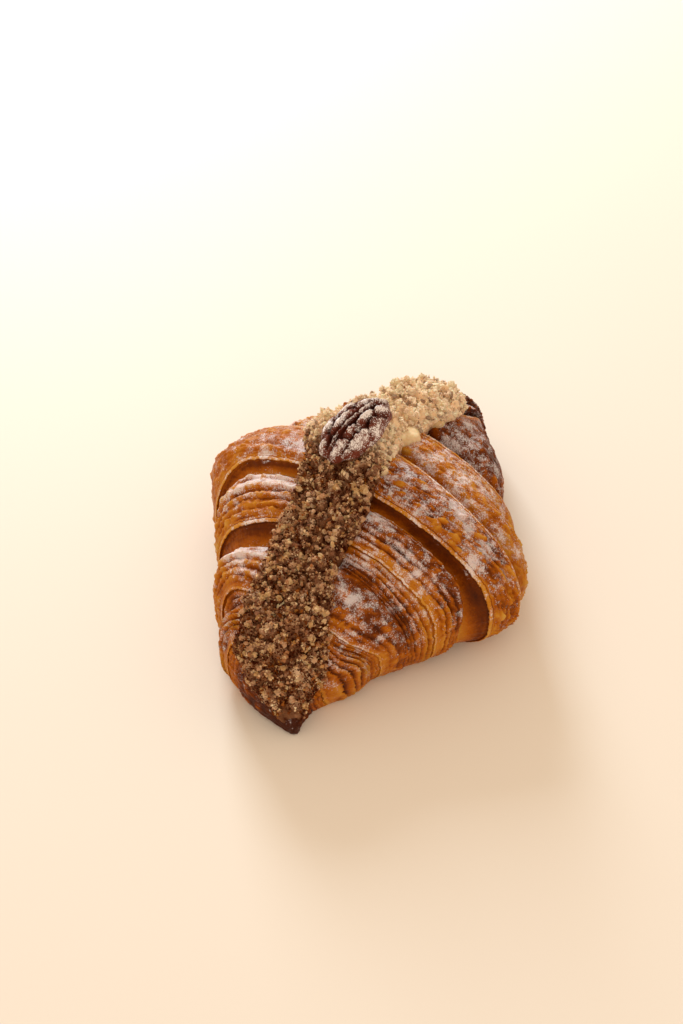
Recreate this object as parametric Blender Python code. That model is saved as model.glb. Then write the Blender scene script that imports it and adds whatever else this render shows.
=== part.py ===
"""A pecan croissant at its real size, in metres, +Z up.

The croissant lies along X on a flat base. Its left side is +Y and its right side is -Y. It is a
rolled sheet of layered dough: the widest wrap is in the middle, and each wrap nearer a tip comes
out from under the one before it, so the crust goes down in steps. A strip of nut cream lies along
the crest, a band of crumble covers it, and one pecan half lies on the crumble.

Angles of the cross-section are in degrees: 0 is the left side, 90 the crest, 180 the right side,
and -90 or 270 the middle of the base. Lengths are in millimetres, and each mesh is scaled to
metres as it is made.
"""

import math
from typing import NamedTuple

import bpy
from mathutils import Euler, Matrix, Vector, noise

MM = 0.001

# Driving dimensions of the croissant
HALF_LENGTH = 80.0
LEFT_HALF_WIDTH = 58.0
RIGHT_HALF_WIDTH = 68.0
CREST_HEIGHT = 54.0
BOW = 11.2  # how far the middle of the spine lies left of its ends
NEAR_HOOK = 6.5  # how far the -X tip turns to the right
BULGE_SHIFT = 3.0  # how far the right side's widest place lies toward the -X tip

# How the half-widths and the height fall from the middle to a tip, as shares of the full size
LEFT_FALL = 0.69
RIGHT_POWER = 1.38
NEAR_TIP_WIDTH = 0.05
FAR_TIP_WIDTH = 0.09
NEAR_TIP_TAPER = 0.12
FAR_TIP_TAPER = 0.34
HEIGHT_FALL = 0.45
TIP_BULGE = 2.0  # how far the middle of an end stands out beyond its rim

# Shape of the cross-section: powers below 1 make it fuller than an ellipse
BELLY = 0.40  # height of the widest place, as a share of the whole height
BASE_FROM = 0.80  # sine of the angle below the side where the flat base begins
ACROSS_POWER = 0.85
UP_POWER = 0.90
UNDER_POWER = 0.60

# Topping
GAP = 0.5
CREAM_THICKNESS = 1.6
CRUMBLE_THICKNESS = 5.6
CRUMBLE_LUMP = 1.5
BAND_HALF_WIDTH = 16.0
BAND_OFFSET = 1.5  # how far the band lies left of the spine
BAND_DRIFT = 5.0  # how much further left it lies under the pecan half
BAND_SLIMMING = 3.5  # how much narrower it is on each side by its +X end
WIDEST_ACROSS = 0.84  # most of a half-width that it covers, where the roll is thin
BAND_NEAR_END = -77.0
BAND_FAR_END = 65.0
FAR_HEAP = 3.5  # how much thicker the crumble is near its +X end
FAR_HEAP_PLACE = 54.0

# Pecan half
PECAN_LENGTH = 31.5
PECAN_WIDTH = 18.5
PECAN_HEIGHT = 8.5
PECAN_PLACE = (7.0, 9.4)
PECAN_SEAT = 61.5  # height of the middle of its underside
PECAN_YAW = -19.0
PECAN_PITCH = 12.0
PECAN_EDGE = 1.2  # thickness of its rim
PECAN_GROOVE = 2.0  # depth of the groove along its back
PECAN_GROOVE_WIDTH = 2.6
PECAN_RIDGE = 0.7  # height of the ridges across its lobes
PECAN_NARROWING = 0.10  # how much narrower it is at the pointed end than halfway along
PECAN_UNDERSIDE = 0.86  # width of the flat underside, as a share of the widest place
SEAT_REACH = 1.55  # how far out the crumble is drawn to the pecan half, in half-lengths of it
SEAT_BLEND = 0.35


class Seam(NamedTuple):
    """A line around the roll: its distances from the middle at five angles of the section."""

    left_low: float
    left_high: float
    crest: float
    right_high: float
    right_low: float

    def at(self, angle):
        """The distance at an angle, blended smoothly from one stated place to the next."""
        base = (self.left_low + self.right_low) / 2
        knots = (base, self.left_low, *self[1:4], self.right_low, base)
        angles = (-90, 0, 45, 90, 135, 180, 270)
        for k in range(6):
            if angle <= angles[k + 1] or k == 5:
                share = min(max((angle - angles[k]) / (angles[k + 1] - angles[k]), 0), 1)
                return knots[k] + (knots[k + 1] - knots[k]) * share * share * (3 - 2 * share)


class Step(NamedTuple):
    """Where one wrap ends: its lip, the foot of the wall below the lip, and the drop between."""

    lip: Seam
    foot: Seam
    drop: float


MIDDLE = Seam(0, 0, 0, 0, 0)
TIP = Seam(*[HALF_LENGTH] * 5)
NEAR_STEPS = (
    Step(Seam(17, 6.5, 7.5, 16, 21), Seam(18.5, 11.5, 11, 21.5, 34), 6.0),
    Step(Seam(31, 28, 27.5, 35, 38.5), Seam(38.5, 36, 36, 45, 48.5), 5.0),
    Step(Seam(50.5, 48.5, 56, 62.5, 57), Seam(56, 55, 61, 67, 65), 3.6),
    Step(Seam(64, 64, 65.5, 69, 68.5), Seam(67, 67, 68.5, 71.5, 71.5), 2.2),
)
FAR_STEPS = (
    Step(Seam(14, 14, 16.5, 15.5, 15), Seam(19, 19, 20.5, 20.5, 21), 5.2),
    Step(Seam(34, 35, 37.5, 38, 36.5), Seam(40, 40, 42, 43, 42.5), 4.6),
    Step(Seam(52, 53, 54, 55, 53.5), Seam(58, 58.5, 59, 60, 59.5), 3.6),
    Step(Seam(66, 66, 67, 68, 67), Seam(69.5, 69.5, 70, 71, 70.5), 2.2),
)
# Shares of the way along a wrap, from the foot before it to its lip, and of the wall to its foot
SKIN_SHARES = (0.12, 0.30, 0.55, 0.80, 1.0)
WALL_SHARES = ((0.12, 0.45), (0.45, 0.82), (1.0, 1.0))
TIP_SHARES = (0.20, 0.45, 0.70, 0.88, 1.0)
RISE_SHARE = 0.42  # share of a wrap over which its skin comes back up from the foot
CROWN = 0.9  # how far the middle of a wrap stands out
THIN_HEIGHT = 30.0  # below this height of the roll the drops get smaller with it

# Columns of the grid around the section
BASE_COLUMNS = 2
FLANK_COLUMNS = 10
BAND_COLUMNS = 9
RIM_SHARE = 0.045  # share of the band that the cream shows beyond the crumble, on each side


def smooth_abs(value, corner=0.06):
    """|value| with its corner at zero rounded, and 1 where value is 1."""
    return (math.hypot(value, corner) - corner) / (math.hypot(1, corner) - corner)


def hill(x, middle, width):
    """A smooth hill, 1 at its middle and under 0.4 a width away."""
    return math.exp(-(((x - middle) / width) ** 2))


def tip_taper(share, start, power, end):
    """How much a half-width or height is drawn in near a tip: 1 up to start, and end at the tip."""
    along = max(0.0, (share - start) / (1 - start))
    return end + (1 - end) * max(0.0, 1 - along**power)


def half_width(x, left):
    """Half-width of the envelope at x, on one side of the spine."""
    if left:
        share = smooth_abs(x / HALF_LENGTH)
        full = LEFT_HALF_WIDTH * (1 - LEFT_FALL * share)
        return full * tip_taper(share, 0.78, 1.8, NEAR_TIP_TAPER if x < 0 else FAR_TIP_TAPER)
    share = smooth_abs((x + BULGE_SHIFT * hill(x, 0, 30)) / HALF_LENGTH)
    tip = NEAR_TIP_WIDTH if x < 0 else FAR_TIP_WIDTH
    return RIGHT_HALF_WIDTH * (tip + (1 - tip) * (1 - share**RIGHT_POWER))


def height(x):
    """Height of the envelope at x."""
    share = smooth_abs(x / HALF_LENGTH)
    full = CREST_HEIGHT * (1 - HEIGHT_FALL * share)
    if x < 0:
        return full * tip_taper(share, 0.76, 1.6, 0.10)
    return full * tip_taper(share, 0.84, 2.2, 0.66)


def spine(x):
    """Sideways place of the spine at x."""
    share = x / HALF_LENGTH
    hook = max(0.0, -share - 0.5) / 0.5
    return BOW * (0.5 - share * share) - NEAR_HOOK * hook**2


def section(angle):
    """(across, up) of the unit section: across is 1 at the left side, and up is 1 at the crest."""
    cosine, sine = math.cos(math.radians(angle)), math.sin(math.radians(angle))
    across = math.copysign(abs(cosine) ** ACROSS_POWER, cosine)
    if sine >= 0:
        return across, BELLY + (1 - BELLY) * sine**UP_POWER
    return across, BELLY * (1 - min(1.0, -sine / BASE_FROM) ** UNDER_POWER)


def crust_point(x, angle, sink=0.0):
    """The point of the envelope at x and an angle, moved in by sink."""
    across, up = section(angle)
    half = max(0.5, half_width(x, across > 0) - sink)
    tall = max(0.5, height(x) - sink)
    slope = (spine(x + 0.5) - spine(x - 0.5)) / math.hypot(1, spine(x + 0.5) - spine(x - 0.5))
    side = half * across
    return Vector((x - slope * side, spine(x) + math.sqrt(1 - slope * slope) * side, tall * up))


def half_rows(steps, toward):
    """The rows from the middle to one tip, as (seam before, seam after, share, sink, toward)."""
    rows = []
    before, drop = MIDDLE, 0.0
    for step in steps:
        for share in SKIN_SHARES:
            rise = max(0.0, 1 - share / RISE_SHARE) ** 2
            crown = CROWN * math.sin(math.pi * share)
            rows.append((before, step.lip, share, drop * rise - crown, toward))
        for share, fall in WALL_SHARES:
            rows.append((step.lip, step.foot, share, step.drop * fall, toward))
        before, drop = step.foot, step.drop
    for share in TIP_SHARES:
        rise = max(0.0, 1 - share / RISE_SHARE) ** 2
        rows.append((before, TIP, share, drop * rise, toward))
    return rows


def grid_rows():
    """All rows of the crust from the -X tip to the +X tip."""
    near = half_rows(NEAR_STEPS, -1)
    return [*reversed(near), (MIDDLE, MIDDLE, 0, -CROWN / 2, 1), *half_rows(FAR_STEPS, 1)]


def row_place(row, angle):
    """(x, sink) of a row at an angle."""
    before, after, share, sink, toward = row
    x = toward * (before.at(angle) + (after.at(angle) - before.at(angle)) * share)
    return x, sink * min(1.0, height(x) / THIN_HEIGHT)


def row_crest(row):
    """Where a row crosses the crest."""
    return row_place(row, 90)[0]


def band_edge(x, left):
    """The angle of the section at which the band of topping ends."""
    waver = 1.5 * noise.noise(Vector((x / 9, 3.1 if left else 7.7, 0)))
    offset = BAND_OFFSET + BAND_DRIFT * hill(x, PECAN_PLACE[0] + 4, 16)
    slimmer = BAND_SLIMMING * max(0.0, x) / BAND_FAR_END
    reach = BAND_HALF_WIDTH + waver - slimmer + (offset if left else -offset)
    across = min(WIDEST_ACROSS, reach / half_width(x, left))
    turn = math.degrees(math.acos(across ** (1 / ACROSS_POWER)))
    return turn if left else 180 - turn


def column_angles(x):
    """The angles of the grid's columns at x. Those across the band have fixed numbers."""
    flat = math.degrees(math.asin(BASE_FROM))
    left, right = band_edge(x, True), band_edge(x, False)
    rim = (right - left) * RIM_SHARE
    stops = ((-90, -flat, BASE_COLUMNS), (-flat, left, FLANK_COLUMNS),
             (left, left + rim, 1), (left + rim, right - rim, BAND_COLUMNS - 2),
             (right - rim, right, 1), (right, 180 + flat, FLANK_COLUMNS),
             (180 + flat, 270, BASE_COLUMNS))
    return [a + (b - a) * k / count for a, b, count in stops for k in range(count)]


def new_object(name, points, faces, colour, roughness):
    """A closed mesh object, smooth on its round parts, with its own material."""
    mesh = bpy.data.meshes.new(name)
    mesh.from_pydata([point * MM for point in points], [], faces)
    mesh.validate()
    mesh.shade_smooth()
    mesh.set_sharp_from_angle(angle=math.radians(50))
    material = bpy.data.materials.new(name)
    material.use_nodes = True
    shader = material.node_tree.nodes["Principled BSDF"]
    shader.inputs["Base Color"].default_value = (*colour, 1)
    shader.inputs["Roughness"].default_value = roughness
    mesh.materials.append(material)
    new = bpy.data.objects.new(name, mesh)
    bpy.context.scene.collection.objects.link(new)
    return new


def split(a, b, c, d):
    """A four-sided face as two triangles, always cut from a to c."""
    return [(a, b, c), (a, c, d)]


def build_croissant(rows):
    """The layered body, a closed grid with a point at each tip."""
    columns = len(column_angles(0))
    points, faces = [], []
    for row in rows:
        for angle in column_angles(row_crest(row)):
            x, sink = row_place(row, angle)
            points.append(crust_point(x, angle, sink))
    for r in range(len(rows) - 1):
        for c in range(columns):
            here, beside = r * columns + c, r * columns + (c + 1) % columns
            faces += split(beside, beside + columns, here + columns, here)
    for first, turned in ((0, False), ((len(rows) - 1) * columns, True)):
        ring = range(first, first + columns)
        points.append(sum((points[k] for k in ring), Vector()) / columns)
        points[-1].x += TIP_BULGE if turned else -TIP_BULGE
        for c in range(columns):
            a, b = first + c, first + (c + 1) % columns
            faces.append((a, b, len(points) - 1) if turned else (b, a, len(points) - 1))
    return new_object("croissant", points, faces, (0.50, 0.20, 0.045), 0.35)


def band_rows(rows):
    """The rows that the topping covers."""
    return [row for row in rows if BAND_NEAR_END <= row_crest(row) <= BAND_FAR_END]


def blanket(name, rows, inset, under, over, colour, roughness):
    """A closed sheet across the band, between two surfaces that are functions of place."""
    first = BASE_COLUMNS + FLANK_COLUMNS + inset
    last = BASE_COLUMNS + FLANK_COLUMNS + BAND_COLUMNS - inset
    width = last - first + 1
    lower, upper = [], []
    for number, row in enumerate(rows):
        end = min(number, len(rows) - 1 - number)
        for c in range(first, last + 1):
            angle = column_angles(row_crest(row))[c]
            x, sink = row_place(row, angle)
            edge = min(c - first, last - c)
            lower.append(under(x, angle, sink))
            upper.append(over(x, angle, sink, min(end, edge)))
    points, faces = lower + upper, []
    top = len(lower)
    for r in range(len(rows) - 1):
        for c in range(width - 1):
            a, b = r * width + c, r * width + c + 1
            faces += split(b, a, a + width, b + width)
            faces += split(top + b, top + b + width, top + a + width, top + a)
    rim = list(range(width)) + [r * width + width - 1 for r in range(1, len(rows))]
    rim += [(len(rows) - 1) * width + c for c in range(width - 2, -1, -1)]
    rim += [r * width for r in range(len(rows) - 2, 0, -1)]
    for a, b in zip(rim, rim[1:] + rim[:1]):
        faces += split(b, top + b, top + a, a)
    return new_object(name, points, faces, colour, roughness)


def pecan_matrix():
    """Place and turn of the pecan half."""
    turn = Euler((0, math.radians(-PECAN_PITCH), math.radians(PECAN_YAW)))
    return Matrix.LocRotScale(Vector((*PECAN_PLACE, PECAN_SEAT)), turn, None)


def cream_top(x, angle, sink, inside):
    """Upper face of the nut cream: it fills the steps and thins at its rim."""
    thickness = CREAM_THICKNESS * (0.6 if inside == 0 else 1.0)
    return crust_point(x, angle, min(0.0, sink) - GAP - thickness)


def crumble_under(x, angle, sink):
    """Lower face of the crumble, just clear of the cream."""
    return crust_point(x, angle, min(0.0, sink) - GAP - CREAM_THICKNESS - GAP)


def crumble_top(x, angle, sink, inside):
    """Upper face of the crumble: lumpy, thin at its rim, and flat under the pecan half."""
    spot = crust_point(x, angle)
    lump = CRUMBLE_LUMP * noise.noise(Vector((spot.x / 6, spot.y / 6, 0)))
    rim = (0.5, 0.85)[inside] if inside < 2 else 1.0
    thickness = CRUMBLE_THICKNESS + FAR_HEAP * hill(x, FAR_HEAP_PLACE, 13) + lump
    level = GAP + CREAM_THICKNESS + GAP + thickness * rim
    point = crust_point(x, angle, min(0.0, sink) - level)
    local = pecan_matrix().inverted() @ point
    away = math.hypot(local.x / PECAN_LENGTH, local.y / PECAN_WIDTH) * 2
    under = min(max((SEAT_REACH - away) / SEAT_BLEND, 0.0), 1.0)
    seat = pecan_matrix() @ Vector((local.x, local.y, -2 * GAP))
    return point.lerp(seat, under)


def build_pecan():
    """The pecan half: a domed oval with a groove along it and ridges across each lobe."""
    rings, turns = 11, 30
    points, faces = [Vector((0, 0, PECAN_HEIGHT + PECAN_EDGE - PECAN_GROOVE))], []
    for ring in range(1, rings + 1):
        out = math.sin(math.pi / 2 * ring / rings)
        relief = 1 - out**4
        for turn in range(turns):
            angle = 2 * math.pi * turn / turns
            x = out * math.cos(angle) * PECAN_LENGTH / 2
            y = out * math.sin(angle) * (1 - PECAN_NARROWING * math.cos(angle)) * PECAN_WIDTH / 2
            dome = PECAN_EDGE + PECAN_HEIGHT * max(0.0, 1 - out**2.6) ** 0.55
            groove = PECAN_GROOVE * hill(y, 0, PECAN_GROOVE_WIDTH / 2)
            ridge = PECAN_RIDGE * math.sin(x / 1.1 + 0.22 * abs(y)) * min(1.0, abs(y) / 4)
            points.append(Vector((x, y, dome + (ridge - groove) * relief)))
    for turn in range(turns):
        beside = (turn + 1) % turns
        faces.append((0, 1 + turn, 1 + beside))
        for ring in range(rings - 1):
            a, b = 1 + ring * turns + turn, 1 + ring * turns + beside
            faces += split(a, a + turns, b + turns, b)
    rim = 1 + (rings - 1) * turns
    under = len(points)
    for turn in range(turns):
        x, y, _ = points[rim + turn]
        points.append(Vector((x * PECAN_UNDERSIDE, y * PECAN_UNDERSIDE, 0)))
    points.append(Vector((0, 0, 0)))
    for turn in range(turns):
        beside = (turn + 1) % turns
        faces += split(rim + turn, under + turn, under + beside, rim + beside)
        faces.append((under + turn, len(points) - 1, under + beside))
    return new_object("pecan_half", points, faces, (0.10, 0.035, 0.025), 0.45)


def main():
    """Builds the croissant and its topping, and centres them on the middle of the base."""
    for old in list(bpy.data.objects):
        bpy.data.objects.remove(old, do_unlink=True)
    rows = grid_rows()
    croissant = build_croissant(rows)
    covered = band_rows(rows)
    cream = blanket("nut_cream", covered, 0, lambda x, a, s: crust_point(x, a, s - GAP),
                    cream_top, (0.72, 0.60, 0.40), 0.5)
    crumble = blanket("crumble", covered, 1, crumble_under,
                      crumble_top, (0.42, 0.28, 0.16), 0.8)
    pecan = build_pecan()
    place = pecan_matrix()
    pecan.rotation_euler = place.to_euler()
    pecan.location = place.translation * MM
    bpy.context.view_layer.update()
    parts = (croissant, cream, crumble, pecan)
    corners = [part.matrix_world @ vertex.co for part in parts for vertex in part.data.vertices]
    middle = [(min(c[k] for c in corners) + max(c[k] for c in corners)) / 2 for k in (0, 1)]
    for part in parts:
        part.location -= Vector((*middle, 0))


main()
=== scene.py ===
"""Looks of a pecan croissant: layered crust, nut cream, crumble, pecan half and icing sugar.

Lengths are in millimetres, and each mesh is scaled to metres as it is made, with the roll's own
frame at ROLL_PLACE in the part's. Angles of the roll's cross-section are in degrees: 0 is its left
side (+Y), 90 the crest, 180 its right side (-Y), and -90 or 270 the middle of the base.
"""

import logging
import math
from dataclasses import dataclass, field
from enum import Enum
from typing import Callable, Union

import bpy
import numpy as np
from mathutils import Euler, Matrix, Vector


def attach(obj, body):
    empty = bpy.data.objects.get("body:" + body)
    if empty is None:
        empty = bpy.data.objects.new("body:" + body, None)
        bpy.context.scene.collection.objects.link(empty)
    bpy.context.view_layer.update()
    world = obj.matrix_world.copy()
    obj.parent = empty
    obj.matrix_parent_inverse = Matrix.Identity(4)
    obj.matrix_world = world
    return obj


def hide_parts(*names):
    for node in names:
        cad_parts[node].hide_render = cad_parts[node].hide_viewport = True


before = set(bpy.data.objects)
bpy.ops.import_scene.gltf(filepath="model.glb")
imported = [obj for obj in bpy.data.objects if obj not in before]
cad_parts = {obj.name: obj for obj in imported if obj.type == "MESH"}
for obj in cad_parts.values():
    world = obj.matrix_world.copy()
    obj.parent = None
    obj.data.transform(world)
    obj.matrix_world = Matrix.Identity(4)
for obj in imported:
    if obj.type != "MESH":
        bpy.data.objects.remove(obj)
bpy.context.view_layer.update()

LOG = logging.getLogger("pecan_croissant")
MM = 0.001
ROLL_PLACE = (-0.27, -0.59, 0.0)
Array = np.ndarray
Object = bpy.types.Object
Material = bpy.types.Material
Pair = tuple[float, float]
Triple = tuple[float, float, float]
Numbers = tuple[float, ...]
Colour = Triple
Value = Union["Signal", float]


class Slot(Enum):
    """Names of the material slots."""

    CRUST = "crust"
    CREAM = "cream"
    CRUMBLE = "crumble"
    PECAN = "pecan"


class Zone(Enum):
    """Parts of a wrap, from where it comes out to where the next one starts."""

    HIDDEN = 0
    SKIN = 1
    LIP = 2
    WALL = 3
    END = 4


# ------------------------------------------------------------------ small helpers


def smooth_abs(value: Array, corner: float = 0.06) -> Array:
    """|value| with its corner at zero rounded, and 1 where value is 1."""
    return (np.hypot(value, corner) - corner) / (math.hypot(1, corner) - corner)


def hill(value: Array, middle: float, width: float) -> Array:
    """A smooth hill, 1 at its middle and under 0.4 a width away."""
    return np.exp(-(((value - middle) / width) ** 2))


def smooth_step(value: Array, low: float, high: float) -> Array:
    """0 below low, 1 above high, and smooth between them."""
    share = np.clip((value - low) / (high - low), 0, 1)
    return share * share * (3 - 2 * share)


def pinch(value: Array, size: Triple) -> Array:
    """Grows from 0 to a depth between two values."""
    return size[0] * smooth_step(value, *size[1:])


def stacked(*parts: Array) -> Array:
    """Joins coordinates into points, or corners into faces."""
    return np.stack(parts, axis=-1)


def run_along(line: Array) -> Array:
    """Length of a line from its start to each of its points."""
    return np.concatenate([[0], np.cumsum(np.linalg.norm(np.diff(line, axis=0), axis=1))])


def tube_quads(rings: int, turns: int) -> Array:
    """Joins rings of points, each ring closed and numbered after the one before.

    Args:
        rings: How many rings there are.
        turns: How many points a ring has.

    Returns:
        The four corners of each face.
    """
    grid = np.arange(rings * turns).reshape(rings, turns)
    beside = np.roll(grid, -1, axis=1)
    return stacked(grid[:-1], grid[1:], beside[1:], beside[:-1]).reshape(-1, 4)


def tip_taper(share: Array, start: float, power: float, end: Array) -> Array:
    """How much a size is drawn in near a tip: 1 up to start, and end at the tip."""
    along = np.clip((share - start) / (1 - start), 0, 1)
    return end + (1 - end) * (1 - along**power)


class GradientNoise:
    """Smooth gradient noise on arrays of points, about -1 to 1, the same in each run."""

    cells = 256
    gain = 1.7
    apart = 37.1

    def __init__(self, seed: int) -> None:
        """Draws the order of the cells and a slope for each.

        Args:
            seed: Start of the random numbers.
        """
        draw = np.random.default_rng(seed)
        order = draw.permutation(self.cells)
        self.order = np.concatenate([order, order, order])
        slopes = draw.normal(size=(self.cells, 3))
        self.slopes = slopes / np.linalg.norm(slopes, axis=1, keepdims=True)

    def at(self, points: Array, size: float | Numbers = 1.0) -> Array:
        """Noise at points.

        Args:
            points: Places, with x, y and z last.
            size: Size of one cell of the noise, or one size for each axis.

        Returns:
            One value for each point.
        """
        place = points / np.asarray(size, float)
        cell = np.floor(place).astype(int)
        inside = place - cell
        blend = inside**3 * (inside * (inside * 6 - 15) + 10)
        cell &= self.cells - 1
        total = np.zeros(place.shape[:-1])
        for corner in np.ndindex(2, 2, 2):
            x, y, z = (cell[..., k] + corner[k] for k in range(3))
            slope = self.slopes[self.order[self.order[self.order[x] + y] + z]]
            share = np.prod([blend[..., k] if corner[k] else 1 - blend[..., k] for k in range(3)], axis=0)
            total += share * np.sum(slope * (inside - corner), axis=-1)
        return total * self.gain

    def layers(self, points: Array, size: float, count: int = 3) -> Array:
        """Sum of noises, each half as large and half as strong as the one before."""
        return sum(self.at(points + self.apart * k, size / 2**k) / 2**k for k in range(count))


GRAIN = GradientNoise(11)


def turned_line(values: Array, row: float) -> Array:
    """Points along one line of the noise, for noise of one variable."""
    return stacked(values, np.full_like(values, row), np.full_like(values, 0.5))


@dataclass
class Shape:
    """A mesh in the making: points in millimetres, faces, and what the materials read."""

    points: Array
    quads: Array
    triangles: Array = field(default_factory=lambda: np.zeros((0, 3), int))
    marks: dict[str, Array] = field(default_factory=dict)

    def build(self, name: str, material: Material, smooth: bool = True) -> Object:
        """Makes the shape an object in the scene.

        Args:
            name: Name of the piece.
            material: Its finish.
            smooth: Whether its shading is smooth over the edges of its faces.

        Returns:
            The new object, with each mark as an attribute of its points.
        """
        mesh = bpy.data.meshes.new(name)
        points = (self.points + ROLL_PLACE) * MM
        mesh.vertices.add(len(points))
        mesh.vertices.foreach_set("co", points.astype(np.float32).ravel())
        corners = np.concatenate([self.quads.ravel(), self.triangles.ravel()])
        mesh.loops.add(len(corners))
        mesh.loops.foreach_set("vertex_index", corners.astype(np.int32))
        starts = np.concatenate([np.arange(len(self.quads)) * 4,
                                 len(self.quads) * 4 + np.arange(len(self.triangles)) * 3])
        mesh.polygons.add(len(starts))
        mesh.polygons.foreach_set("loop_start", starts.astype(np.int32))
        mesh.update(calc_edges=True)
        for key, values in self.marks.items():
            kind = "FLOAT" if values.ndim == 1 else "FLOAT_VECTOR"
            layer = mesh.attributes.new(key, kind, "POINT")
            layer.data.foreach_set("value" if values.ndim == 1 else "vector",
                                   values.astype(np.float32).ravel())
        (mesh.shade_smooth if smooth else mesh.shade_flat)()
        mesh.materials.append(material)
        made = bpy.data.objects.new(name, mesh)
        bpy.context.scene.collection.objects.link(made)
        return made


def finish_piece(name: str, shape: Shape, material: Material, node: str,
                 smooth: bool = True) -> None:
    """Makes a shape a finished piece that rides on the body.

    Args:
        name: Name of the piece.
        shape: Its shape.
        material: Its finish.
        node: The solid that it stands for.
        smooth: Whether its shading is smooth over the edges of its faces.
    """
    piece = shape.build(name, material, smooth)
    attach(piece, "root")
    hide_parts(node)
    LOG.info("%s: %d faces", piece.name, len(piece.data.polygons))


# ------------------------------------------------------------------ materials


def math_operator(operation: str, swapped: bool = False) -> Callable:
    """Makes an operator of Signal.

    Args:
        operation: The Math node's operation.
        swapped: Whether the other value stands on the left.

    Returns:
        The method.
    """
    def apply(self: "Signal", other: Value) -> "Signal":
        """Adds one Math node."""
        first, second = (other, self) if swapped else (self, other)
        return self.graph.node("ShaderNodeMath", {"operation": operation}, {0: first, 1: second})

    return apply


class Signal:
    """A value or colour in a node tree, so that shader maths reads as expressions."""

    def __init__(self, graph: "Graph", socket: bpy.types.NodeSocket) -> None:
        """Wraps one socket of a graph."""
        self.graph = graph
        self.socket = socket

    __add__, __radd__ = math_operator("ADD"), math_operator("ADD", swapped=True)
    __sub__, __rsub__ = math_operator("SUBTRACT"), math_operator("SUBTRACT", swapped=True)
    __mul__, __rmul__ = math_operator("MULTIPLY"), math_operator("MULTIPLY", swapped=True)

    def over(self, low: float, high: float) -> "Signal":
        """0 below low, 1 above high, and smooth between them."""
        settings = {"interpolation_type": "SMOOTHSTEP"}
        return self.graph.node("ShaderNodeMapRange", settings, {0: self, 1: low, 2: high, 3: 0.0, 4: 1.0})


class Graph:
    """The node tree of one material."""

    def __init__(self, name: str) -> None:
        """Makes a material with an unset surface shader.

        Args:
            name: Name of the material.
        """
        self.material = bpy.data.materials.new(name)
        self.material.use_nodes = True
        self.tree = self.material.node_tree
        self.shader = self.tree.nodes["Principled BSDF"]
        self.place = self.node("ShaderNodeTexCoord", output="Object")

    def node(self, kind: str, settings: dict | None = None, values: dict | None = None,
             output: int | str = 0) -> Signal:
        """Adds a node of any kind.

        Args:
            kind: Blender's name of the node type.
            settings: Its settings, set first. "stops" holds a ramp's places and colours.
            values: Values or signals for its inputs, by name or number.
            output: The output to hand on, by name or number.

        Returns:
            The chosen output.
        """
        made = self.tree.nodes.new(kind)
        for key, value in (settings or {}).items():
            if key == "stops":
                elements = made.color_ramp.elements
                while len(elements) < len(value):
                    elements.new(0.5)
                for element, (place, colour) in zip(elements, value):
                    element.position = place
                    element.color = (*colour, 1)
            else:
                setattr(made, key, value)
        for key, value in (values or {}).items():
            if isinstance(value, Signal):
                self.tree.links.new(value.socket, made.inputs[key])
            else:
                made.inputs[key].default_value = value
        return Signal(self, made.outputs[output])

    def mark(self, name: str) -> Signal:
        """A number stored on the piece's points."""
        return self.node("ShaderNodeAttribute", {"attribute_name": name}, output="Fac")

    def grain(self, size: float, detail: float = 2.0, place: Signal | None = None) -> Signal:
        """Noise with cells of a size in millimetres, about 0 to 1, over the piece or over place."""
        values = {"Vector": place or self.place, "Scale": 1 / (size * MM), "Detail": detail}
        return self.node("ShaderNodeTexNoise", {}, values)

    def sway(self, size: float, detail: float, strength: Value) -> Signal:
        """Noise about zero with cells of a size in millimetres."""
        return (self.grain(size, detail) - 0.5) * strength

    def mix(self, share: Value, first: "Signal | Colour", second: "Signal | Colour") -> Signal:
        """Blends two colours.

        Args:
            share: How much of the second one, 0 to 1.
            first: The first colour.
            second: The second colour.

        Returns:
            The blend.
        """
        values = {0: share, 6: first if isinstance(first, Signal) else (*first, 1),
                  7: second if isinstance(second, Signal) else (*second, 1)}
        return self.node("ShaderNodeMix", {"data_type": "RGBA"}, values, output=2)

    def ramp(self, value: Signal, stops: tuple) -> Signal:
        """A colour read from stops by a value."""
        return self.node("ShaderNodeValToRGB", {"stops": stops}, {0: value})

    def dress(self, constants: dict[str, float], signals: dict[str, Signal],
              height: Signal | None = None, depth: float = 0.2) -> Material:
        """Fills the surface shader.

        Args:
            constants: Inputs that are the same all over.
            signals: Inputs that change over the surface.
            height: Relief for the Bump node, 0 to 1.
            depth: Its depth in millimetres.

        Returns:
            The finished material.
        """
        for name, value in constants.items():
            self.shader.inputs[name].default_value = value
        for name, signal in signals.items():
            self.tree.links.new(signal.socket, self.shader.inputs[name])
        if height:
            values = {"Strength": 1.0, "Distance": depth * MM, "Height": height}
            bump = self.node("ShaderNodeBump", {}, values)
            self.tree.links.new(bump.socket, self.shader.inputs["Normal"])
        return self.material


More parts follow.
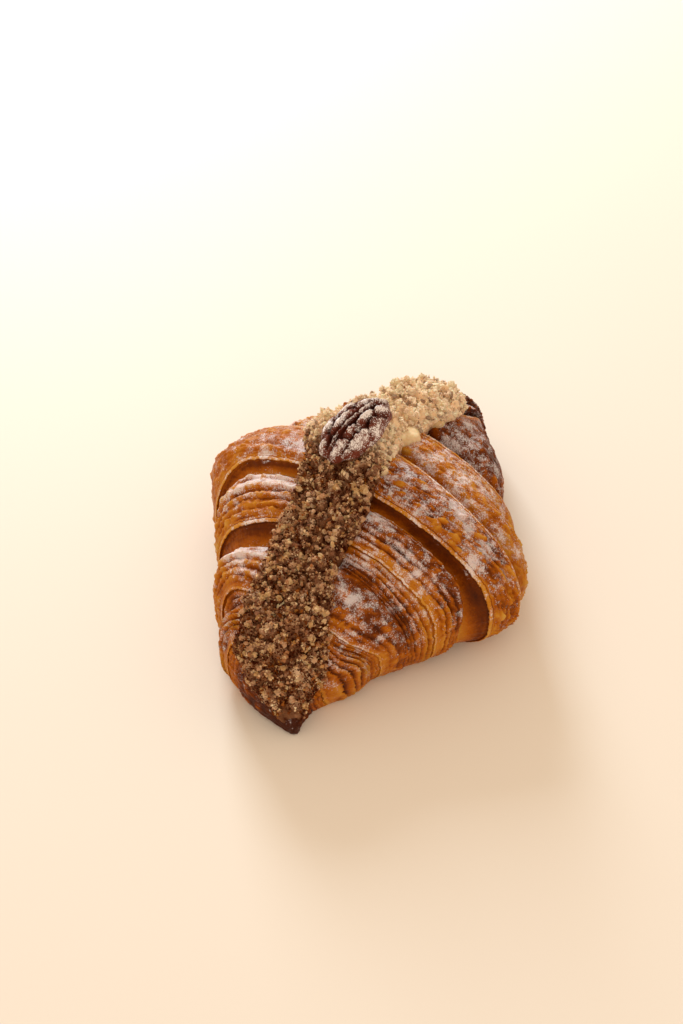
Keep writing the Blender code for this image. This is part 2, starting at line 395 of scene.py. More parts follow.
@dataclass(frozen=True)
class SugarCoat:
    """Icing sugar that lies as a haze in patches, and as crisp specks, on another finish.

    The clumps and the drifts are each a size in millimetres, a detail and a strength.
    """

    colour: Colour = (0.84, 0.81, 0.86)
    haze: float = 0.56
    speck: float = 0.70
    speck_from: float = 0.755
    speck_edge: float = 0.10
    fine_size: float = 0.46
    clumps: Triple = (1.3, 2.0, 1.05)
    drifts: Triple = (4.2, 1.0, 1.8)
    haze_from: Pair = (0.35, 1.30)

    def share(self, graph: Graph, dust: Signal) -> Signal:
        """How much of the surface the sugar covers.

        Args:
            graph: The node tree of the finish beneath.
            dust: How thickly it is dusted, 0 to 1.

        Returns:
            0 where the finish beneath shows, 1 under sugar.
        """
        fine = graph.grain(self.fine_size, 1.0)
        heaped = dust + graph.sway(*self.clumps) + graph.sway(*self.drifts)
        haze = (heaped + (fine - 0.5) * 1.1).over(*self.haze_from) * self.haze
        specks = (fine + heaped * 0.28).over(self.speck_from, self.speck_from + self.speck_edge)
        return (haze + specks * (self.speck - haze)) * dust.over(0.0, 0.25)


@dataclass(frozen=True)
class CrustFinish:
    """Egg-washed, baked dough: golden inside the layers, amber to brown on the skin."""

    golden: Colour = (0.60, 0.330, 0.062)
    amber: Colour = (0.53, 0.205, 0.017)
    orange: Colour = (0.38, 0.097, 0.003)
    russet: Colour = (0.150, 0.029, 0.002)
    burnt: Colour = (0.055, 0.011, 0.005)

    def material(self) -> Material:
        """Builds the material.

        Returns:
            The material. It reads the marks tone, dust, layered and flow.
        """
        graph = Graph("baked_crust")
        flow = graph.node("ShaderNodeAttribute", {"attribute_name": "flow"}, output="Vector")
        streak, speck = graph.grain(0.8, 2.0, flow), graph.grain(0.8, 3.0)
        layered = graph.mark("layered")
        tone = graph.mark("tone") + graph.sway(6.0, 3.0, 0.16 + layered * 0.34)
        tone = tone + (speck - 0.5) * 0.20 + (streak - 0.5) * (0.14 + layered * 0.30)
        stops = ((0.0, self.golden), (0.25, self.amber), (0.5, self.orange), (0.75, self.russet),
                 (1.0, self.burnt))
        sugar = SugarCoat().share(graph, graph.mark("dust"))
        colour = graph.mix(sugar, graph.ramp(tone, stops), SugarCoat.colour)
        signals = {"Base Color": colour, "Roughness": 0.36 + (speck - 0.5) * 0.25 + sugar * 0.5,
                   "Coat Weight": 0.07 - sugar * 0.09}
        constants = {"Coat Roughness": 0.22, "Subsurface Weight": 0.10, "Subsurface Scale": 0.003,
                     "Specular IOR Level": 0.09, "Specular Tint": (1.0, 0.50, 0.18, 1)}
        height = speck * 0.6 + streak * (0.4 + layered * 0.8) + sugar * 0.4
        return graph.dress(constants, signals, height, 0.32)


@dataclass(frozen=True)
class CrumbFinish:
    """Baked crumble: one kind of crumb, each crumb a little lighter or darker."""

    name: str
    dark: Colour
    middle: Colour
    light: Colour
    roughness: float = 0.85

    def material(self) -> Material:
        """Builds the material.

        Returns:
            The material. It reads the mark shade.
        """
        graph = Graph(self.name)
        fine = graph.grain(0.35, 3.0)
        shade = graph.mark("shade") + (fine - 0.5) * 0.36 + graph.sway(1.4, 2.0, 0.4)
        stops = ((0.0, self.dark), (0.5, self.middle), (1.0, self.light))
        frost = (graph.grain(0.5, 1.0) + graph.sway(3.0, 2.0, 0.7)).over(0.48, 0.85)
        frost = frost * shade.over(0.15, 0.8) * 0.12
        signals = {"Base Color": graph.mix(frost, graph.ramp(shade, stops), SugarCoat.colour)}
        constants = {"Roughness": self.roughness, "Subsurface Weight": 0.10, "Subsurface Scale": 0.002,
                     "Specular IOR Level": 0.06, "Specular Tint": (1.0, 0.6, 0.3, 1)}
        return graph.dress(constants, signals, fine, 0.35)


@dataclass(frozen=True)
class CreamFinish:
    """Smooth pale nut cream with a soft shine."""

    pale: Colour = (0.80, 0.64, 0.40)
    deep: Colour = (0.62, 0.40, 0.18)

    def material(self) -> Material:
        """Builds the material.

        Returns:
            The material. It reads no marks.
        """
        graph = Graph("nut_cream")
        patch, fine = graph.grain(3.0, 3.0), graph.grain(0.5, 2.0)
        signals = {"Base Color": graph.mix(patch.over(0.35, 0.75), self.pale, self.deep),
                   "Roughness": 0.36 + fine * 0.2}
        constants = {"Subsurface Weight": 0.2, "Subsurface Scale": 0.003}
        return graph.dress(constants, signals, fine, 0.06)


@dataclass(frozen=True)
class PecanFinish:
    """Dark roasted pecan skin, dusted with icing sugar."""

    groove: Colour = (0.028, 0.005, 0.003)
    skin: Colour = (0.15, 0.032, 0.018)
    ridge: Colour = (0.29, 0.080, 0.038)
    sugar: SugarCoat = SugarCoat((0.97, 0.91, 0.91), haze=0.62, speck=0.92, speck_from=0.71)

    def material(self) -> Material:
        """Builds the material.

        Returns:
            The material. It reads the marks ridge and dust.
        """
        graph = Graph("pecan_skin")
        fine = graph.grain(0.6, 3.0)
        value = graph.mark("ridge") + graph.sway(3.5, 2.0, 0.6) + (fine - 0.5) * 0.4
        sugar = self.sugar.share(graph, graph.mark("dust"))
        stops = ((0.0, self.groove), (0.5, self.skin), (1.0, self.ridge))
        signals = {"Base Color": graph.mix(sugar, graph.ramp(value, stops), self.sugar.colour),
                   "Roughness": 0.36 + sugar * 0.5}
        return graph.dress({"Specular IOR Level": 0.25, "Specular Tint": (1.0, 0.6, 0.5, 1)}, signals,
                           fine * 0.7 + sugar * 0.7, 0.25)


# ------------------------------------------------------------------ form of the roll


@dataclass(frozen=True)
class Envelope:
    """Outer form of the roll: its half-widths, height and spine along X.

    Each dent is a place (x and angle), a depth (below zero for a swelling) and its reaches in
    millimetres along the roll and in degrees around it. The waist is a depth, a place and a width,
    and a pinch a depth and where it starts and is full. The bends are the powers that round the
    section's sides, top and underside.
    """

    half_length: float = 80.0
    left_half_width: float = 58.0
    right_half_width: float = 68.0
    crest_height: float = 54.0
    bow: float = 11.2
    near_hook: float = 6.5
    bulge_shift: float = 3.0
    left_fall: float = 0.69
    right_power: float = 1.38
    tip_widths: Pair = (0.05, 0.09)
    tip_tapers: Pair = (0.07, 0.34)
    side_taper: Pair = (0.78, 1.8)
    height_tapers: tuple[Triple, Triple] = ((0.76, 1.6, 0.10), (0.84, 2.2, 0.66))
    waist: Triple = (0.05, -28, 26)
    left_pinch: Triple = (0.10, 58, 74)
    right_pinches: tuple[Triple, Triple] = ((0.78, 64, 78), (0.34, 56, 80))
    bow_middle: float = 0.5
    hook_from: float = 0.5
    bends: Triple = (0.85, 0.90, 0.60)
    least: float = 0.5
    height_fall: float = 0.45
    belly: float = 0.40
    base_from: float = 0.80
    dents: tuple[tuple[float, float, float, float, float], ...] = (
        (25, 168, 3.0, 7, 28), (3, 183, -2.6, 8, 30), (-33, 200, 2.6, 6, 28), (-23, 200, -1.4, 4, 25),
        (-52, 205, 1.6, 4, 25), (-45, 207, -1.0, 3, 25), (-55, -2, 2.9, 7, 30), (-2, 14, -2.6, 7, 30),
        (12, 34, -1.6, 6, 25), (-14, 3, -1.0, 6, 25), (27, 42, 2.4, 8, 22), (-26, 2, 1.0, 8, 30),
        (-45, 2, 1.0, 6, 30))

    def share(self, x: Array) -> Array:
        """How far x is from the middle: 0 there and 1 at a tip."""
        return np.minimum(smooth_abs(x / self.half_length), 1)

    def half_width(self, x: Array, left: Array) -> Array:
        """Half-width of the roll on one side of the spine.

        Args:
            x: Places along the roll.
            left: Whether each is wanted on the left.

        Returns:
            The half-width at each place.
        """
        share = self.share(x)
        near = x < 0
        taper = tip_taper(share, *self.side_taper, np.where(near, *self.tip_tapers))
        one = self.left_half_width * (1 - self.left_fall * share) * taper
        one = one * (1 - self.waist[0] * hill(x, *self.waist[1:]) - pinch(-x, self.left_pinch))
        share = self.share(x + self.bulge_shift * hill(x, 0, 30))
        tip = np.where(near, *self.tip_widths)
        other = self.right_half_width * (tip + (1 - tip) * (1 - share**self.right_power))
        other = other * (1 - pinch(-x, self.right_pinches[0]) - pinch(x, self.right_pinches[1]))
        return np.where(left, one, other)

    def height(self, x: Array) -> Array:
        """Height of the crest.

        Args:
            x: Places along the roll.

        Returns:
            The height at each place.
        """
        share = self.share(x)
        near, far = (tip_taper(share, *taper) for taper in self.height_tapers)
        return self.crest_height * (1 - self.height_fall * share) * np.where(x < 0, near, far)

    def spine(self, x: Array) -> Array:
        """Line that the roll bends along.

        Args:
            x: Places along the roll.

        Returns:
            How far to the left the spine lies at each place.
        """
        share = x / self.half_length
        hook = np.maximum(0, -share - self.hook_from) / (1 - self.hook_from)
        return self.bow * (self.bow_middle - share * share) - self.near_hook * hook**2

    def section(self, angle: Array) -> tuple[Array, Array]:
        """Section of the roll at unit size.

        Args:
            angle: Angles of the section.

        Returns:
            How far across and how far up it lies at each angle.
        """
        sides, top, under = self.bends
        cosine, sine = np.cos(np.radians(angle)), np.sin(np.radians(angle))
        across = np.sign(cosine) * np.abs(cosine) ** sides
        upper = self.belly + (1 - self.belly) * np.maximum(sine, 0) ** top
        lower = self.belly * (1 - np.minimum(1, np.maximum(-sine, 0) / self.base_from) ** under)
        return across, np.where(sine >= 0, upper, lower)

    def point(self, x: Array, angle: Array, sink: Array | float = 0.0) -> Array:
        """Points on the roll.

        Args:
            x: Places along it.
            angle: Angles of the section.
            sink: How far in the points lie. The dents come on top.

        Returns:
            The points.
        """
        across, up = self.section(angle)
        for dent_x, dent_angle, depth, long, wide in self.dents:
            sink = sink + depth * hill(x, dent_x, long) * hill((angle - dent_angle + 180) % 360, 180, wide)
        half = np.maximum(self.least, self.half_width(x, across > 0) - sink)
        tall = np.maximum(self.least, self.height(x) - sink)
        rise = self.spine(x + 0.5) - self.spine(x - 0.5)
        slope = rise / np.hypot(1, rise)
        side = half * across
        return stacked(x - slope * side, self.spine(x) + np.sqrt(1 - slope * slope) * side,
                         tall * up * np.ones_like(x))


@dataclass(frozen=True)
class Seam:
    """A line around the roll: its distances from the middle at five angles of the section."""

    left_low: float
    left_high: float
    crest: float
    right_high: float
    right_low: float

    def at(self, angle: Array) -> Array:
        """The line's distance from the middle, on a smooth curve through the stated places.

        Args:
            angle: Angles of the section, from -90 to 270.

        Returns:
            The distance at each angle.
        """
        base = (self.left_low + self.right_low) / 2
        knots = np.array([base, self.left_low, self.left_high, self.crest, self.right_high,
                          self.right_low, base])
        angles = np.array([-90.0, 0, 45, 90, 135, 180, 270])
        slopes = np.zeros(7)
        slopes[1:-1] = (knots[2:] - knots[:-2]) / (angles[2:] - angles[:-2])
        k = np.clip(np.searchsorted(angles, angle) - 1, 0, 5)
        wide = angles[k + 1] - angles[k]
        t = np.clip((angle - angles[k]) / wide, 0, 1)
        rise = t * t * (3 - 2 * t)
        curve = wide * (slopes[k] * t * (1 - t) ** 2 - slopes[k + 1] * t * t * (1 - t))
        return knots[k] + (knots[k + 1] - knots[k]) * rise + curve


OVER_CREST = (60, 130)
RIDGE_LINE = 6.0
NEAR_MIDDLE = Seam(0, 0, 0, RIDGE_LINE, 2 * RIDGE_LINE)
FAR_MIDDLE = Seam(0, 0, 0, -RIDGE_LINE, -2 * RIDGE_LINE)
NEAR_TIP = Seam(79, 79, 79, 79, 79)
FAR_TIP = Seam(79.9, 79.9, 79.9, 79.9, 79.9)


@dataclass(frozen=True)
class Coat:
    """Look of one zone of a wrap on one side.

    The edges say where its thin layers end, as shares of the zone. Each other row of numbers is
    read between evenly spaced places, from the zone's inner side to its outer side.
    """

    edges: Numbers
    depth: Numbers
    tone: Numbers
    dust: Numbers
    blisters: float = 0.5


@dataclass(frozen=True)
class Wrap:
    """One turn of the rolled dough on one half of the roll, up to its lip and the wall below it.

    It drops by different amounts on the left and on the right side.
    """

    lip: Seam
    foot: Seam
    drops: Pair
    left_skin: Coat
    right_skin: Coat
    left_wall: Coat
    right_wall: Coat
    fall: float = 2.2

    def drop(self, angle: Array) -> Array:
        """How far the wall goes down, at an angle of the section."""
        left, right = self.drops
        return left + (right - left) * smooth_step(angle, *OVER_CREST)


# SMOOTH_WALL is darkest at its top, just under the lip: painted shade.
SMOOTH_WALL = Coat((0, 0.14, 1), (0.5, 0.1, 0.1), (0.74, 0.70, 0.56, 0.38, 0.14),
                   (0.1, 0.0, 0.0, 0.05, 0.25), 0.05)
RIDGED_WALL = Coat((0, 0.22, 0.44, 0.70, 0.86, 1), (1.9, 2.0, 1.9, 1.7),
                   (0.25, 0.28, 0.38, 0.50, 0.52), (0.55, 0.5, 0.75, 0.4, 0.3), 0.3)
FINE_WALL = Coat((0, 0.3, 0.6, 1), (1.5, 1.5, 1.3), (0.30, 0.38, 0.48), (0.5, 0.5, 0.4), 0.3)
# LEFT_WALL is darkest at its top, just under the lip: painted shade.
LEFT_WALL = Coat((0, 0.14, 1), (0.5, 0.2, 0.2), (0.70, 0.64, 0.52, 0.40, 0.24),
                 (0.12, 0.0, 0.0, 0.12, 0.45), 0.1)
# WINDOW's heavy dust is real icing sugar and also a painted highlight for the glare on the lit left crest.
WINDOW = Coat((0, 0.4, 0.8, 1), (0.15, 0.2, 0.35), (0.42, 0.40, 0.36, 0.33, 0.32),
              (1.0, 0.72, 0.48, 0.60), 0.5)
BLISTERED = Coat((0, 0.3, 0.62, 0.86, 1), (0.4, 0.4, 0.5, 0.4), (0.32, 0.34, 0.36, 0.34, 0.28),
                 (0.66, 0.62, 0.62, 0.60), 1.0)
STEPPED_LEFT = Coat((0, 0.24, 0.50, 0.66, 0.84, 1), (0.8, 1.1, 1.8, 1.9, 1.6),
                    (0.36, 0.29, 0.26, 0.28, 0.30), (1.30, 1.15, 0.70, 0.42, 0.38), 0.5)
DUSTED_RIGHT = Coat((0, 0.12, 0.25, 0.53, 0.70, 0.86, 1), (1.8, 1.6, 0.8, 1.2, 2.1, 2.1),
                    (0.29, 0.41, 0.55, 0.53, 0.43, 0.35), (0.32, 0.52, 0.59, 0.55, 0.43, 0.37), 0.5)
CALM_RIGHT = Coat((0, 0.30, 0.62, 0.86, 1), (0.8, 0.6, 0.5, 0.9, 1.6), (0.44, 0.53, 0.53, 0.46, 0.36),
                  (0.45, 0.56, 0.55, 0.45, 0.36), 0.5)
DUSTED_FAR = Coat((0, 0.3, 0.62, 0.86, 1), (0.6, 0.5, 0.5, 0.5), (0.17, 0.17, 0.19, 0.17),
                  (0.72, 0.68, 0.66, 0.70), 0.7)
FINE_RIGHT = Coat((0, 0.21, 0.43, 0.62, 0.81, 1), (3.3, 3.5, 3.5, 3.0),
                  (0.36, 0.37, 0.38, 0.40), (0.58, 0.62, 0.58, 0.48), 0.15)
PURPLE = Coat((0, 0.2, 0.45, 0.7, 1), (0.5, 0.5, 0.5, 0.6), (0.63, 0.65, 0.62, 0.54),
              (0.60, 0.64, 0.64, 0.56), 0.45)
PURPLE_WALL = Coat((0, 0.3, 0.6, 1), (0.5, 0.5), (0.74, 0.84), (0.2, 0.1), 0.2)
TIP_COAT = Coat((0, 0.2, 0.4, 0.6, 0.8, 1), (1.0, 1.0, 0.8), (0.62, 0.66, 0.74), (0.36, 0.32, 0.22), 0.6)

SUGAR_DRIFTS = (
    (17.5, 102), (12.5, 111), (2.5, 120), (-2, 125), (-4, 129), (-8.5, 138), (-15, 141), (-15.5, 100),
    (-19.5, 105), (-23.5, 111), (-27, 118), (-30, 126), (-32.5, 137), (-45.5, 106), (-48, 113),
    (-50.5, 121), (-53.5, 134), (-55.5, 152), (-41.5, 47), (-37.5, 50), (-36, 39), (-13.5, 51),
    (-3, 53), (4, 67), (30, 108), (27, 120), (47, 110))
CLEAN_SPOTS = ((0.5, 38), (-1.5, 27), (4.5, 58), (-3, 12), (-5, 2), (-27, 20), (-33, 25), (-44, 25))


@dataclass
class Row:
    """One line of points around the roll."""

    zone: Zone
    share: float
    x: Array
    sink: Array
    wrap: Wrap | None


@dataclass
class Croissant:
    """The layered body, one closed piece for each wrap of the dough.

    Each row of the lip's profile is how far it juts out, how deep it lies, its tone and its dust; the
    dark tones of the crack row and of the rows that turn in under the lip are painted shade.
    The hidden and the end rows are a share of the wrap's length and a depth, the wavers a strength
    and a size, and a drift is a strength and the places where the sugar lies so.
    """

    envelope: Envelope
    crown: float = 0.9
    rise_share: float = 0.42
    thin_height: float = 30.0
    row_step: float = 0.40
    column_step: float = 0.50
    base_columns: int = 24
    tip_bulge: float = 0.7
    drift_size: float = 3.4
    drifts: tuple[tuple[float, tuple], ...] = ((0.50, SUGAR_DRIFTS), (-0.75, CLEAN_SPOTS))
    crack_row: int = 2
    inset: float = 0.5
    hidden_rows: tuple[Pair, Pair] = ((-0.25, 9.0), (-0.12, 3.5))
    end_rows: tuple[Pair, Pair] = ((0.10, 3.0), (0.25, 9.0))
    wavers: tuple[Pair, Pair, Pair] = ((0.30, 2.2), (0.28, 0.30), (0.16, 0.13))
    least_skin: float = 2.8
    least_wall: float = 1.2
    thick_drop: float = 5.0
    bold_drops: Pair = (2.6, 4.6)
    tip_rounding: float = 1.5
    plain_tone: float = 0.42
    hidden_tone: float = 0.75
    blister_cell: Triple = (2.7, 4.6, 1.0)
    pimple_cell: Triple = (1.2, 1.9, 1.0)
    crease_cell: Triple = (2.6, 7.0, 1.0)
    bead_cell: float = 0.9
    blister_depth: float = 2.0
    crease_depth: float = 0.45
    wrinkle_depth: float = 0.16
    tip_reach: Pair = (64, 78)
    cap_turns: Triple = (25, 50, 72)
    # Rows three and eight to eleven carry painted shade: dark tone in the crack and under the lip.
    lip_profile: tuple[tuple[float, float, float, float], ...] = (
        (-2.0, -0.02, 0.30, 0.75), (-1.65, 0.02, 0.38, 0.60), (-1.42, 0.34, 0.76, 0.1),
        (-1.2, 0.0, 0.20, 0.95), (-0.6, -0.08, 0.16, 1.0), (-0.1, 0.04, 0.14, 1.15),
        (0.08, 0.28, 0.24, 0.55), (-0.1, 0.55, 0.55, 0.1), (-0.7, 0.8, 0.78, 0.0),
        (-0.9, 1.1, 0.80, 0.0), (-0.5, 1.5, 0.76, 0.0))

    near: tuple[Wrap, ...] = (
        Wrap(Seam(17, 6.0, 7.5, 16, 21), Seam(18.5, 8.8, 9.8, 18.7, 27.0), (3.6, 5.4),
             WINDOW, BLISTERED, LEFT_WALL, SMOOTH_WALL),
        Wrap(Seam(31, 28, 27.5, 35, 38.5), Seam(36.5, 33.6, 34, 43, 46), (4.4, 2.6),
             STEPPED_LEFT, DUSTED_RIGHT, LEFT_WALL, RIDGED_WALL, 1.5),
        Wrap(Seam(50.5, 48.5, 58, 62, 56.5), Seam(54.5, 53, 60.5, 63.7, 59), (3.0, 2.0),
             STEPPED_LEFT, CALM_RIGHT, FINE_WALL, FINE_WALL, 1.4),
        Wrap(Seam(63, 63, 67.5, 71.3, 70.3), Seam(66, 66, 70, 73, 72.5), (1.8, 1.4),
             FINE_RIGHT, FINE_RIGHT, FINE_WALL, FINE_WALL, 1.4),
    )
    far: tuple[Wrap, ...] = (
        Wrap(Seam(14, 14, 18.5, 3, -6), Seam(19, 19, 22.5, 8, 1), (4.8, 4.6),
             WINDOW, BLISTERED, SMOOTH_WALL, SMOOTH_WALL),
        Wrap(Seam(34, 35, 38, 35, 34), Seam(40, 40, 42.5, 41, 40), (4.6, 4.6),
             STEPPED_LEFT, DUSTED_FAR, FINE_WALL, FINE_WALL),
        Wrap(Seam(52, 53, 58, 70, 75.5), Seam(58, 58.5, 62, 72.5, 77), (3.6, 2.6),
             PURPLE, PURPLE, PURPLE_WALL, PURPLE_WALL),
        Wrap(Seam(66, 66, 67, 75, 78.4), Seam(69.5, 69.5, 70, 76.5, 79), (2.2, 1.2),
             PURPLE, PURPLE, PURPLE_WALL, PURPLE_WALL),
    )

    def column_angles(self) -> Array:
        """Places the columns evenly along the surface, and a few across the base.

        Returns:
            The angle of each column.
        """
        flat = math.degrees(math.asin(self.envelope.base_from))
        fine = np.linspace(-flat, 180 + flat, 4001)
        line = self.envelope.point(np.zeros_like(fine), fine)
        run = run_along(line)
        count = int(run[-1] / self.column_step)
        shown = np.interp(np.linspace(0, run[-1], count + 1), run, fine)
        base = np.linspace(180 + flat, 360 - flat, self.base_columns + 2)[1:-1]
        return np.concatenate([shown, np.where(base > 270, base - 360, base)])

    def wrap_rows(self, wrap: Wrap | Seam, before: Wrap | Seam, angles: Array, seed: int) -> list[Row]:
        """Rows of one wrap, outward from where it comes out.

        Args:
            wrap: The wrap, or the line where the tip ends.
            before: The wrap that it comes out of, or the line in the middle of the roll.
            angles: Angles of the columns.
            seed: Makes the wavering of its edges its own.

        Returns:
            The rows, with x as a distance from the middle.
        """
        turn = np.radians(angles)
        ring = stacked(np.cos(turn) * 9, np.sin(turn) * 9, np.full_like(angles, seed * 5.3))
        (slow, long), *quick = self.wavers
        waver = slow * GRAIN.layers(ring, long, 2) + sum(size * GRAIN.at(ring, cell) for size, cell in quick)
        hidden, tip = isinstance(before, Wrap), isinstance(wrap, Seam)
        start = before.foot.at(angles) if hidden else before.at(angles)
        start_drop = before.drop(angles) if hidden else np.zeros_like(angles)
        end = wrap.at(angles) if tip else wrap.lip.at(angles) + waver
        own = None if tip else wrap
        end = np.maximum(end, start + self.least_skin)
        rows = [Row(Zone.HIDDEN, share, start + (end - start) * share, start_drop + deeper, own)
                for share, deeper in self.hidden_rows if hidden]
        reach = np.maximum((end - start) + (0 if tip else self.lip_profile[0][0]), 0.5)
        count = max(10, int(np.max(reach) / self.row_step))
        slow = self.rise_share + 0.45 * smooth_step(angles, 140, 190)
        for share in np.linspace(0, 1, count, endpoint=tip):
            rise = np.maximum(0.0, 1 - share / slow) ** 2
            rounding = pinch(np.array(share), (self.tip_rounding, 0.88, 1.0)) if tip else 0.0
            height = self.crown * math.sin(math.pi * share) - rounding
            rows.append(Row(Zone.SKIN, share, start + reach * share, start_drop * rise - height, own))
        if tip:
            return rows
        drop = wrap.drop(angles)
        thin = np.clip(drop / self.thick_drop, 0.45, 1.0)
        foot = np.maximum(wrap.foot.at(angles), end + self.least_wall)
        crack = np.clip(0.4 + 1.6 * GRAIN.at(ring, 4.0), 0.0, 1.0)
        for number, (ahead, down, _, _) in enumerate(self.lip_profile):
            share = number / (len(self.lip_profile) - 1)
            deep = down * (crack * smooth_step(drop, *self.bold_drops) if number == self.crack_row else 1.0)
            rows.append(Row(Zone.LIP, share, end + ahead * thin, deep * thin, wrap))
        ahead, below = (value * thin for value in self.lip_profile[-1][:2])
        count = max(16, int(np.max(foot - end) / self.row_step))
        for share in np.linspace(0, 1, count + 1)[1:]:
            fall = 1 - (1 - share) ** wrap.fall
            rows.append(Row(Zone.WALL, share, end + ahead + (foot - end - ahead) * share,
                            below + (drop - below) * fall, wrap))
        return rows + [Row(Zone.END, share, foot + (foot - end) * share, drop + deeper, wrap)
                       for share, deeper in self.end_rows]

    def layers(self, share: float, edges: Numbers, sheet: Array,
               seed: float) -> tuple[Array, Array]:
        """Thin layers inside a zone, each rising from a groove and ending in a small step.

        Args:
            share: How far along the zone the row lies.
            edges: Where the layers end, as shares of the zone.
            sheet: Place of each point around the roll, in millimetres.
            seed: Makes the layers of this zone their own.

        Returns:
            Height of each point within its layer, 0 to 1, and a strength for its layer.
        """
        line = turned_line(sheet, seed + share * 2.4)
        moved = share + 0.040 * GRAIN.at(turned_line(sheet / 16, seed + share * 2.6))
        moved = moved + 0.010 * GRAIN.at(line + 9, (4, 1, 1)) + 0.005 * GRAIN.at(line + 5, (1.1, 1, 1))
        moved = np.clip(moved, 0, 0.999)
        bounds = np.array(edges, float)
        layer = np.clip(np.searchsorted(bounds, moved, side="right") - 1, 0, len(bounds) - 2)
        within = (moved - bounds[layer]) / (bounds[layer + 1] - bounds[layer])
        spot = stacked(layer * 7.7 + 0.5, sheet / 20, np.full_like(sheet, seed))
        strength = np.clip(0.85 + 0.8 * GRAIN.at(spot), 0.35, 1.4)
        return (1 - (1 - within) ** 2.4) * (1 - smooth_step(within, 0.68, 1.0)), strength

    def coat_row(self, row: Row, coat: Coat, sheet: Array, seed: float) -> tuple[Array, ...]:
        """One row of a zone, on one side.

        Args:
            row: The row.
            coat: Look of its zone on this side.
            sheet: Place of each point around the roll, in millimetres.
            seed: Makes the layers of this zone their own.

        Returns:
            Relief of the layers, tone, dust, blisters and layering of each point.
        """
        def read(values: Numbers) -> float:
            """One row of the coat's numbers, read at this row's share."""
            return float(np.interp(row.share, np.linspace(0, 1, len(values)), values))

        height, strength = self.layers(row.share, coat.edges, sheet, seed)
        depth = read(coat.depth) * strength
        # Painted shade and light on the layers: each groove darker, each layer's top a little lighter.
        tone = read(coat.tone) + depth * (0.17 - 0.25 * height)
        dust = read(coat.dust) + 0.38 * depth * (height - 0.5)
        return depth * (height - 0.5), tone, dust, np.full_like(sheet, coat.blisters), np.minimum(1, depth)

    def shape(self, rows: list[Row], toward: Array, angles: Array, seed: int) -> Shape:
        """Turns rows into a closed shape with all its relief and marks.

        Args:
            rows: Rows ordered from -X to +X.
            toward: -1 or 1 for each row: the tip that its wrap faces.
            angles: Angles of the columns.
            seed: Makes the relief of this piece its own.

        Returns:
            The shape, with the marks tone, dust, layered and flow.
        """
        env = self.envelope
        x = np.stack([row.x for row in rows]) * toward[:, None]
        sink = np.stack([row.sink for row in rows])
        angle = np.broadcast_to(angles, x.shape)
        thin = np.minimum(1.0, env.height(x) / self.thin_height)
        around = run_along(env.point(np.zeros_like(angles), angles))
        sheet = np.broadcast_to(around, x.shape)
        right = smooth_step(angles, 80, 100)
        noises = self.skin_noises(stacked(x, sheet, np.full_like(x, seed * 3.1)))
        relief, tone, dust, layered = (np.zeros_like(x) for _ in range(4))
        for number, (row, blister, crease, beads, wrinkle) in enumerate(zip(rows, *noises)):
            if row.zone in (Zone.SKIN, Zone.WALL):
                skin = row.zone is Zone.SKIN
                one, other = (self.coat_row(row, coat, around, seed + 1.5 + 2 * k + (5 if skin else 0))
                              for k, coat in enumerate(self.coats(row)))
                step, row_tone, row_dust, bubbles, depth = (a + (b - a) * right for a, b in zip(one, other))
                edge = min(1.0, row.share * 8, (1 - row.share) * 12 if skin else 1.0)
                relief[number] = (step + self.wrinkle_depth * wrinkle + self.crease_depth * bubbles * crease
                                  + self.blister_depth * bubbles * blister) * edge
                # Painted light and shade on the blisters: their tops lighter, the hollows between them
                # darker.
                tone[number] = row_tone + bubbles * (0.20 - 0.60 * blister)
                dust[number] = row_dust + bubbles * (0.30 * crease - 1.0 * blister + 0.20)
                layered[number] = np.minimum(1, depth + 0.5 * bubbles)
            elif row.zone is Zone.LIP:
                _, _, lip_tone, lip_dust = self.lip_profile[round(row.share * (len(self.lip_profile) - 1))]
                bold = smooth_step(row.wrap.drop(angles), *self.bold_drops)
                relief[number] = 0.15 * wrinkle * max(0.0, 1 - row.share * 2)
                # On thin wraps the lip's painted shade is drawn towards plain_tone.
                tone[number] = np.minimum(lip_tone, self.plain_tone + (lip_tone - self.plain_tone) * bold)
                dust[number] = lip_dust * beads
            else:
                tone[number] = self.hidden_tone
        tone, dust = self.baked(x, angle, env.point(x, angle, sink * thin), sheet, tone, dust)
        points = env.point(x, angle, (sink - relief + self.inset) * thin)
        flow = stacked(x, sheet * 0.10, np.full_like(x, seed * 9.0)) * MM
        marks = {"tone": tone.ravel(), "dust": dust.ravel(), "layered": layered.ravel(),
                 "flow": flow.reshape(-1, 3)}
        return self.capped(points.reshape(-1, 3), tube_quads(*x.shape)[:, ::-1], marks, *x.shape)

    def coats(self, row: Row) -> tuple[Coat, Coat]:
        """Finds the coats of a row.

        Args:
            row: The row.

        Returns:
            Its coats on the left and on the right.
        """
        wrap = row.wrap
        if not wrap:
            return TIP_COAT, TIP_COAT
        if row.zone is Zone.SKIN:
            return wrap.left_skin, wrap.right_skin
        return wrap.left_wall, wrap.right_wall

    def skin_noises(self, flat: Array) -> tuple[Array, Array, Array, Array]:
        """Small forms on the skin.

        Args:
            flat: Points of the skin laid flat.

        Returns:
            Strength of the blisters, of the creases among them, of beads of sugar and of wrinkles.
        """
        blister = np.maximum(0, GRAIN.at(flat, self.blister_cell) - 0.02) ** 1.1
        blister += 0.5 * np.maximum(0, GRAIN.at(flat + 31, self.pimple_cell))
        crease = np.maximum(0, 1 - np.abs(GRAIN.at(flat + 63, self.crease_cell)) / 0.14)
        beads = 0.8 + 0.5 * GRAIN.at(flat + 80, (self.bead_cell, self.bead_cell, 1.0))
        return blister, crease, beads, GRAIN.layers(flat * [0.62, 0.16, 1.0] + 17, 1.3, 3)

